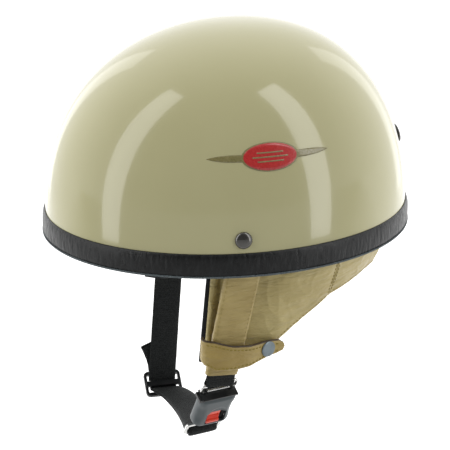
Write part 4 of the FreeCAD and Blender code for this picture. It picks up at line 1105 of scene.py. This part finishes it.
def housing(name, crown, window, detail, finish, node):
    """Half of the buckle's housing as a crowned plate with rolled sides, seen from its outside."""
    sign = 1 if crown > 0 else -1
    inner = [-9.9, *steps((-6.4, 9.6, 32))] if window else steps((-9.9, 9.9, 34))
    columns = steps((-1.0, -0.96, 3), (-0.96, -0.84, 6), (-0.84, -0.70, 4))
    across = [("edge", c) for c in columns[:-1]] + [("fixed", x) for x in [-9.9, -8.8, -7.6] + inner[1:]
                                                    if not (window and x > 9.9)]
    across += [("edge", -c) for c in columns[::-1][1:]]
    along = steps((0.0, -1.6, 6), (-1.6, -18.5, 44), (-18.5, -30.6, 24), (-30.6, -LENGTH, 10))
    bm = bmesh.new()
    grid = []
    for y in along:
        row = []
        for kind, value in across:
            half = half_at(y)
            if kind == "fixed":
                x = value
            else:
                rim = 9.9
                x = math.copysign(rim + (half - rim) * (abs(value) - 0.70) / 0.30, value)
                if half < rim + 0.6:
                    x = math.copysign(rim + 0.6 * (abs(value) - 0.70) / 0.30, value)
            row.append((x, y, abs(crown) - detail(x, y, half)))
        grid.append(row)
    top = [[bm.verts.new(BUCKLE @ (Vector((x, y, sign * z)) * MM)) for x, y, z in row] for row in grid]
    for i in range(len(along) - 1):
        for j in range(len(across) - 1):
            x = (grid[i][j][0] + grid[i][j + 1][0]) / 2
            y = (grid[i][j][1] + grid[i + 1][j][1]) / 2
            if window and -6.4 < x < 9.6 and -30.6 < y < -18.5:
                continue
            bm.faces.new((top[i][j], top[i][j + 1], top[i + 1][j + 1], top[i + 1][j]))
    bm.edges.ensure_lookup_table()
    rim = [e for e in bm.edges if len(e.link_faces) == 1]
    loops = bmesh.ops.extrude_edge_only(bm, edges=rim)["geom"]
    to_local = BUCKLE.inverted()
    for vert in (v for v in loops if isinstance(v, bmesh.types.BMVert)):
        local = to_local @ vert.co / MM
        inside = window and abs(local.x - 1.6) < 8.3 and abs(local.y + 24.55) < 6.4
        local.z = 4.15 if inside else sign * 0.06
        if inside:
            local.x = 1.6 + (local.x - 1.6) * 0.985
        vert.co = BUCKLE @ (local * MM)
    obj = piece(name, bm, finish, "helmet", [node])
    crease(obj, 38)
    return obj


def cover_detail(x, y, half):
    """How far the cover's face falls away: rolled sides, chamfered end, arched scoop."""
    side = max(0.0, 1 - (half - abs(x)) / 5.2)
    fall = 4.3 * (1 - math.sqrt(max(0.0, 1 - side ** 2)))
    end = max(0.0, 1 - (y + LENGTH) / 3.4)
    fall += 2.6 * (1 - math.sqrt(max(0.0, 1 - end ** 2)))
    top = max(0.0, 1 + y / 3.2)
    fall += 1.5 * top ** 1.5
    if y > -18.6:
        reach = math.sqrt(((x - 1.6) / 8.4) ** 2 + ((y + 18.6) / 8.2) ** 2)
        fall += 1.95 * ease((1 - reach) / 0.62)
    crown = 0.35 * (x / half) ** 2
    thumb = 1.25 * math.exp(-((y + 17) / 8.5) ** 4) * ease((abs(x) - 8.6) / 4.2)
    return min(5.6, fall + crown + thumb)


def base_detail(x, y, half):
    side = max(0.0, 1 - (half - abs(x)) / 5.2)
    end = max(0.0, 1 - (y + LENGTH) / 3.4)
    return min(5.6, 4.3 * (1 - math.sqrt(max(0.0, 1 - side ** 2)))
               + 1.6 * (1 - math.sqrt(max(0.0, 1 - end ** 2))) + 0.3 * (x / half) ** 2)


def block(bm, place, low, high, soft=0.35, cuts=3):
    """A rounded block between two corners of a local frame (mm)."""
    made = bmesh.ops.create_cube(bm, size=1.0)["verts"]
    middle, span = (Vector(low) + Vector(high)) / 2, Vector(high) - Vector(low)
    for vert in made:
        vert.co = Vector((vert.co.x * span.x, vert.co.y * span.y, vert.co.z * span.z)) + middle
    edges = list({e for v in made for e in v.link_edges})
    verts = bmesh.ops.bevel(bm, geom=edges, offset=soft, segments=cuts, affect="EDGES")["verts"]
    for vert in {*verts, *[v for v in made if v.is_valid]}:
        vert.co = place @ (vert.co * MM)


def build_buckle():
    housing("buckle_cover_moulded", 6.2, True, cover_detail, GREY_PLASTIC, "buckle_cover")
    housing("buckle_base_moulded", -6.2, False, base_detail, GREY_PLASTIC, "buckle_base")
    bm = bmesh.new()
    block(bm, BUCKLE, (-5.55, -30.3, 2.3), (5.55, -14, 3.9), 0.3)
    block(bm, BUCKLE, (-5.5, -30.3, 3.4), (5.5, -27.3, 6.2), 0.7)
    for k in range(3):
        block(bm, BUCKLE, (-5.2, -26.9 + 1.5 * k, 3.5), (5.2, -26.0 + 1.5 * k, 4.9 - 0.12 * k), 0.28, 2)
    button = piece("release_button_ribbed", bm, RED_PLASTIC, "button", ["release_button"])
    crease(button, 35)
    # Black plastic ribs beside the button; their darkness is partly painted shade inside the window.
    bm = bmesh.new()
    block(bm, BUCKLE, (6.2, -30.4, 1.4), (9.5, -18.7, 3.3), 0.3)
    for k in range(7):
        block(bm, BUCKLE, (6.4, -30 + 1.6 * k, 3.0), (9.4, -29.2 + 1.6 * k, 4.3), 0.25, 2)
    pocket = piece("buckle_pocket_ribs", bm, BLACK_PLASTIC)
    crease(pocket, 35)


def build_spring(coils=8, steps_per_coil=24, wire=0.25, radius=1.1):
    """The button's return spring, built at one fixed length; in use it shortens as the button slides towards the
    end cap.
    """
    rings = []
    for k in range(coils * steps_per_coil + 1):
        turn = 2 * math.pi * k / steps_per_coil
        ring = []
        for m in range(8):
            bend = 2 * math.pi * m / 8
            reach = radius + wire * math.cos(bend)
            y = mix(-13.55, -3.3, k / (coils * steps_per_coil)) + wire * math.sin(bend)
            ring.append(in_buckle(reach * math.cos(turn), y, 2.6 + reach * math.sin(turn)))
        rings.append(ring)
    bm = bmesh.new()
    made = skin(bm, rings)
    bm.faces.new(made[0])
    bm.faces.new(made[-1])
    spring = piece("button_return_spring", bm, STEEL, None, ["button_spring"])
    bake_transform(spring)


# ---------------------------------------------------------------- goggle keeper

KEEPER_CLEAR, KEEPER_GAUGE, KEEPER_FLEX = 0.35, 2.0, 27.0


def keeper_strip(low, high, tip, count):
    """Leather lying on the shell between two heights, with a rounded tip above."""
    rings = []
    for k in range(count + 1):
        height = mix(low, high, k / count)
        spot, out = rear(height * MM), rear_normal(height * MM)
        reach = 8.0
        if tip and high - height < 7:
            reach = max(1.2, 8.0 * math.sqrt(max(0.0, 1 - ((7 - (high - height)) / 7) ** 2)))
        outer, inner = [], []
        for j in range(17):
            x = reach * (2 * j / 16 - 1)
            edge = 0.45 * (1 - ease((reach - abs(x)) / 1.4))
            grain = 0.12 * noise.noise(Vector((x / 3, height / 3, 2)))
            across = Vector((x * MM, 0, 0))
            outer.append(spot + across + out * (KEEPER_CLEAR + KEEPER_GAUGE - edge + grain) * MM)
            inner.append(spot + across + out * (KEEPER_CLEAR + edge) * MM)
        rings.append(outer + inner[::-1])
    bm = bmesh.new()
    solid(bm, rings)
    return bm


def build_keeper():
    foot = piece("keeper_foot_leather", keeper_strip(17.2, KEEPER_FLEX + 0.1, False, 16), BLACK_HIDE,
                 "helmet", ["keeper_foot"])
    flap = piece("keeper_flap_leather", keeper_strip(KEEPER_FLEX, 66.0, True, 60), BLACK_HIDE,
                 None, ["keeper_flap"])
    bm = bmesh.new()
    points, normals = [], []
    outline = [(-6.6, 29)] + [(-6.6, z) for z in (40, 50, 58)]
    outline += [(6.6 * math.cos(a), 58.6 + 5.4 * math.sin(a)) for a in
                (math.pi * (1 - k / 12) for k in range(1, 12))]
    outline += [(6.6, z) for z in (58, 50, 40, 29)]
    for (x0, z0), (x1, z1) in zip(outline, outline[1:]):
        for k in range(6):
            x, z = mix(x0, x1, k / 6), mix(z0, z1, k / 6)
            out = rear_normal(z * MM)
            points.append(rear(z * MM) + Vector((x * MM, 0, 0)) + out * ((KEEPER_CLEAR + KEEPER_GAUGE) * MM))
            normals.append(out)
    stitch_line(bm, points, normals, pitch=2.7, length=2.0, radius=0.22)
    seam = piece("keeper_stitches", bm, BLACK_THREAD, "keeper")
    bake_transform(flap)
    bm = bmesh.new()
    height = 55 * MM
    place = axes(rear(height) + rear_normal(height) * (KEEPER_CLEAR + KEEPER_GAUGE / 2) * MM,
                 rear_normal(height))
    lathe(bm, cap_profile(7.5 * MM, 2.1 * MM, 1.3 * MM), place)
    cap = piece("keeper_snap_cap", bm, DARK_CHROME, "keeper", ["keeper_snap"])
    crease(cap, 45)


# ---------------------------------------------------------------- inside of the helmet


def quilt(along, height, pitch_along, pitch_up):
    """Puffed diamonds between slanting rows of stitching, 0 on a row and 1 between rows."""
    one = math.sin(math.pi * (along / pitch_along + height / pitch_up))
    two = math.sin(math.pi * (along / pitch_along - height / pitch_up))
    return min(1.0, abs(one) * 1.25) ** 0.6 * min(1.0, abs(two) * 1.25) ** 0.6


def build_headband(around=360):
    """A padded ring, upright channels and piped edges."""
    outer_in, inner_in, low, high = 28.6, 36.0, 3.0, 60.0
    bm = bmesh.new()
    rings = []
    for turn in turns(around)[:-1]:
        channel = abs(math.sin(turn * 9))
        puff = min(1.0, channel * 1.35) ** 0.55
        ring = []
        for j in range(25):
            v = j / 24
            crown = (4 * v * (1 - v)) ** 0.42
            grain = 0.25 * noise.noise(Vector((turn * 26, v * 7, 3)))
            inset = mix(31.0, inner_in, crown) - 1.7 * (1 - puff) * crown + grain * crown
            ring.append(dome(turn, mix(low + 0.3, high - 0.3, v) * MM, inset * MM))
        for j in range(9):
            v = 1 - j / 8
            ring.append(dome(turn, mix(low + 0.3, high - 0.3, v) * MM, (outer_in + 0.3 * v) * MM))
        rings.append(ring)
    skin(bm, rings, closed=True)
    pad = piece("headband_cushion", bm, KNIT, stands_for=["headband_pad"])
    bm = bmesh.new()
    for height, inset in ((low + 1.0, 32.6), (high - 1.0, 32.6)):
        rings = []
        for turn in turns(around)[:-1]:
            middle = dome(turn, height * MM, inset * MM)
            out = Vector((middle.x, middle.y, 0)).normalized()
            rings.append([middle + out * (1.2 * math.cos(a) * MM) + Vector((0, 0, 1.2 * math.sin(a) * MM))
                          for a in (2 * math.pi * m / 10 for m in range(10))])
        skin(bm, rings, closed=True)
    piece("headband_piping", bm, BLACK_HIDE)


def build_crown_pad(around=240, up=60):
    """A quilted cap lining the crown, closed by its rolled edge."""
    low = 64.3 * MM
    bm = bmesh.new()
    rows = []
    spin = turns(around)[:-1]
    top_out, top_in = CROWN - 28.6 * MM, CROWN - 36 * MM
    for k in range(up, -1, -1):
        share = math.sin(math.pi / 2 * k / up)
        rows.append([dome(t, min(mix(low, top_out, share), top_out - 1e-9), 28.6 * MM) for t in spin])
    for k in range(up + 1):
        share = math.sin(math.pi / 2 * k / up)
        row = []
        for turn in spin:
            puff = quilt(turn * 9, (1 - share) * 6, 1.0, 1.0)
            edge = ease(k / 5) ** 0.5
            fade = ease((up - k) / 6)
            depth = mix(31.0, 36.0, edge) - 1.5 * (1 - puff) * edge * fade
            inset = depth * MM
            z = min(mix(low, CROWN - 36 * MM, share), CROWN - inset - 1e-9)
            row.append(dome(turn, z, inset))
        rows.append(row)
    skin(bm, rows)
    bmesh.ops.remove_doubles(bm, verts=[v for v in bm.verts if abs(v.co.x) < 0.3 * MM
                                        and v.co.z > top_in - 2 * MM], dist=0.35 * MM)
    pad = piece("crown_cushion", bm, KNIT, stands_for=["crown_pad"])


def build_skirt(around=480):
    """Felt that closes the gap between the rim and the headband, notched for the straps."""
    bm = bmesh.new()
    rings = []
    for turn in turns(around)[:-1]:
        edge = dome(turn, 7 * MM, 5.2 * MM)
        notch = ease((13.6 * MM - abs(edge.y - RIVET_Y)) / (1.2 * MM))
        start = mix(5.2, 13.4, notch)
        ring = []
        for j in range(13):
            v = j / 12
            inset = mix(start, 28.0, v)
            wave = 0.3 * noise.noise(Vector((turn * 22, inset / 5, 3)))
            ring.append(dome(turn, (8.4 - 0.9 * math.sin(math.pi * v) + wave * v * (1 - v) * 4 - 1.6) * MM,
                             inset * MM))
        ring += [p + Vector((0, 0, 1.5 * MM)) for p in ring[::-1]]
        rings.append(ring)
    skin(bm, rings, closed=True)
    skirt = piece("liner_skirt_felt", bm, FELT, stands_for=["liner_skirt"])


# ---------------------------------------------------------------- carried-over parts

CARRIED = {
    "impact_liner": (FOAM, 0.0), "rivet_washers": (STEEL, 0.0), "buckle_end_cap": (BLACK_PLASTIC, 0.35),
    "buckle_frame_plate": (STEEL, 0.1), "latch_pawl": (STEEL, 0.1),
    "tongue_plate": (CHROME, 0.3), "buckle_ring": (CHROME, 0.0), "strap_slider": (BLACK_PLASTIC, 0.6),
    "tab_stud_left": (SNAP_STEEL, 0.0), "tab_stud_right": (SNAP_STEEL, 0.0),
    "keeper_stud": (SNAP_STEEL, 0.0), "keeper_rivet": (STEEL, 0.0),
}


def dress_carried():
    for node, (finish, soft) in CARRIED.items():
        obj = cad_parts[node]
        obj.data.materials.clear()
        obj.data.materials.append(finish)
        if soft:
            weld = obj.modifiers.new("weld", "WELD")
            weld.merge_threshold = 0.01 * MM
            bevel = obj.modifiers.new("soft_edges", "BEVEL")
            bevel.width = soft * MM
            bevel.segments = 3
            bevel.limit_method = "ANGLE"
            bevel.angle_limit = math.radians(40)
            bevel.harden_normals = True


# ---------------------------------------------------------------- studio

AZIMUTH, ELEVATION, DISTANCE = math.radians(74.05), math.radians(20.55), 1.3369
FLOOR = -0.46
DARK_SIDE = (78, 16)   # azimuth and elevation of the unlit side of the room
# The floor carries painted light and shade: a painted glow on the far side and painted shade on the camera side.
FLOOR_FADE = (-0.42, 0.45)   # where the floor turns from white to pale grey, along the view
ROOM_FADE = (-0.40, 0.95, 1.38, 0.20)   # facing away, facing it, and the light at each


def look_from(azimuth, elevation):
    return Vector((math.sin(azimuth) * math.cos(elevation), -math.cos(azimuth) * math.cos(elevation),
                   math.sin(elevation)))


def build_camera():
    data = bpy.data.cameras.new("studio_camera")
    data.lens = 139.55
    data.sensor_width = 36
    data.shift_x, data.shift_y = -0.0036, -0.0184
    data.clip_end = 50
    camera = bpy.data.objects.new("studio_camera", data)
    bpy.context.scene.collection.objects.link(camera)
    back = look_from(AZIMUTH, ELEVATION)
    camera.location = back * DISTANCE
    camera.rotation_euler = back.to_track_quat("Z", "Y").to_euler()
    bpy.context.scene.camera = camera


def softbox(name, azimuth, low, high, distance, width, power):
    """An upright rectangular light facing the helmet, its foot at low and head at high (degrees)."""
    azimuth = math.radians(azimuth)
    foot = look_from(azimuth, math.radians(low)) * distance
    head = look_from(azimuth, math.radians(high)) * distance
    middle = (foot + head) / 2
    up = (head - foot).normalized()
    back = (middle - up * middle.dot(up)).normalized()
    right = up.cross(back).normalized()
    light = bpy.data.lights.new(name, "AREA")
    light.shape = "RECTANGLE"
    light.size = width
    light.size_y = (head - foot).length
    light.energy = power
    obj = bpy.data.objects.new(name, light)
    obj.matrix_world = Matrix((right, up, back)).transposed().to_4x4()
    obj.location = middle
    bpy.context.scene.collection.objects.link(obj)


def build_studio():
    bm = bmesh.new()
    corners = [(-9, -9), (9, -9), (9, 9), (-9, 9)]
    bm.faces.new([bm.verts.new((x, y, FLOOR)) for x, y in corners])
    n = Nodes("pale_floor", Roughness=0.9)
    n.shader.inputs["Emission Color"].default_value = rgba(1, 1, 1)
    paper = n.blend(n.span(n.noise(30.0, 3.0), 0.3, 0.7), rgba(0.90, 0.90, 0.90), rgba(0.93, 0.93, 0.93))
    # painted light and shade on the floor: it glows white on the far side and is tinted grey towards the camera
    across = n.add("ShaderNodeVectorMath", {0: n.place}, operation="DOT_PRODUCT")
    across.inputs[1].default_value = look_from(AZIMUTH, 0)
    shade = n.span(across.outputs["Value"], *FLOOR_FADE)
    n.feed(n.span(shade, 0.0, 1.0, 0.6, 0.0), n.shader.inputs["Emission Strength"])
    floor_finish = n.done(n.blend(shade, paper, rgba(0.55, 0.55, 0.55)))
    mesh = bpy.data.meshes.new("floor")
    bm.to_mesh(mesh)
    bm.free()
    mesh.materials.append(floor_finish)
    floor = bpy.data.objects.new("floor", mesh)
    bpy.context.scene.collection.objects.link(floor)
    world = bpy.data.worlds.new("studio_white")
    world.use_nodes = True
    links, nodes = world.node_tree.links, world.node_tree.nodes
    sky = nodes.new("ShaderNodeTexCoord")
    facing = nodes.new("ShaderNodeVectorMath")
    facing.operation = "DOT_PRODUCT"
    facing.inputs[1].default_value = look_from(math.radians(DARK_SIDE[0]), math.radians(DARK_SIDE[1]))
    links.new(sky.outputs["Generated"], facing.inputs[0])
    level = nodes.new("ShaderNodeMapRange")
    level.interpolation_type = "SMOOTHSTEP"
    for socket, value in zip(("From Min", "From Max", "To Min", "To Max"), ROOM_FADE):
        level.inputs[socket].default_value = value
    links.new(facing.outputs["Value"], level.inputs["Value"])
    links.new(level.outputs[0], nodes["Background"].inputs["Strength"])
    nodes["Background"].inputs["Color"].default_value = rgba(1, 1, 1)
    bpy.context.scene.world = world
    softbox("strip_front", 15, -14, 66, 1.6, 0.34, 5.8)
    softbox("strip_rear", 133, -14, 64, 1.6, 0.32, 5.8)
    softbox("rim_front", -70, -14, 40, 1.9, 0.4, 1.8)
    softbox("rim_rear", -148, -14, 40, 1.9, 0.4, 1.8)


build_camera()
build_studio()
build_shell()
build_trim()
build_selvedge()
build_rivets()
for hand, label in ((1, "left"), (-1, "right")):
    build_badge(hand, label)
    build_flap(hand, label)
    build_tab(hand, label)
build_neck()
build_near_strap()
build_sleeve()
build_far_strap()
build_tail()
build_loop()
build_tongue_wrap()
build_buckle()
build_spring()
build_keeper()
build_headband()
build_crown_pad()
build_skirt()
dress_carried()

bpy.context.scene.view_settings.view_transform = "Standard"
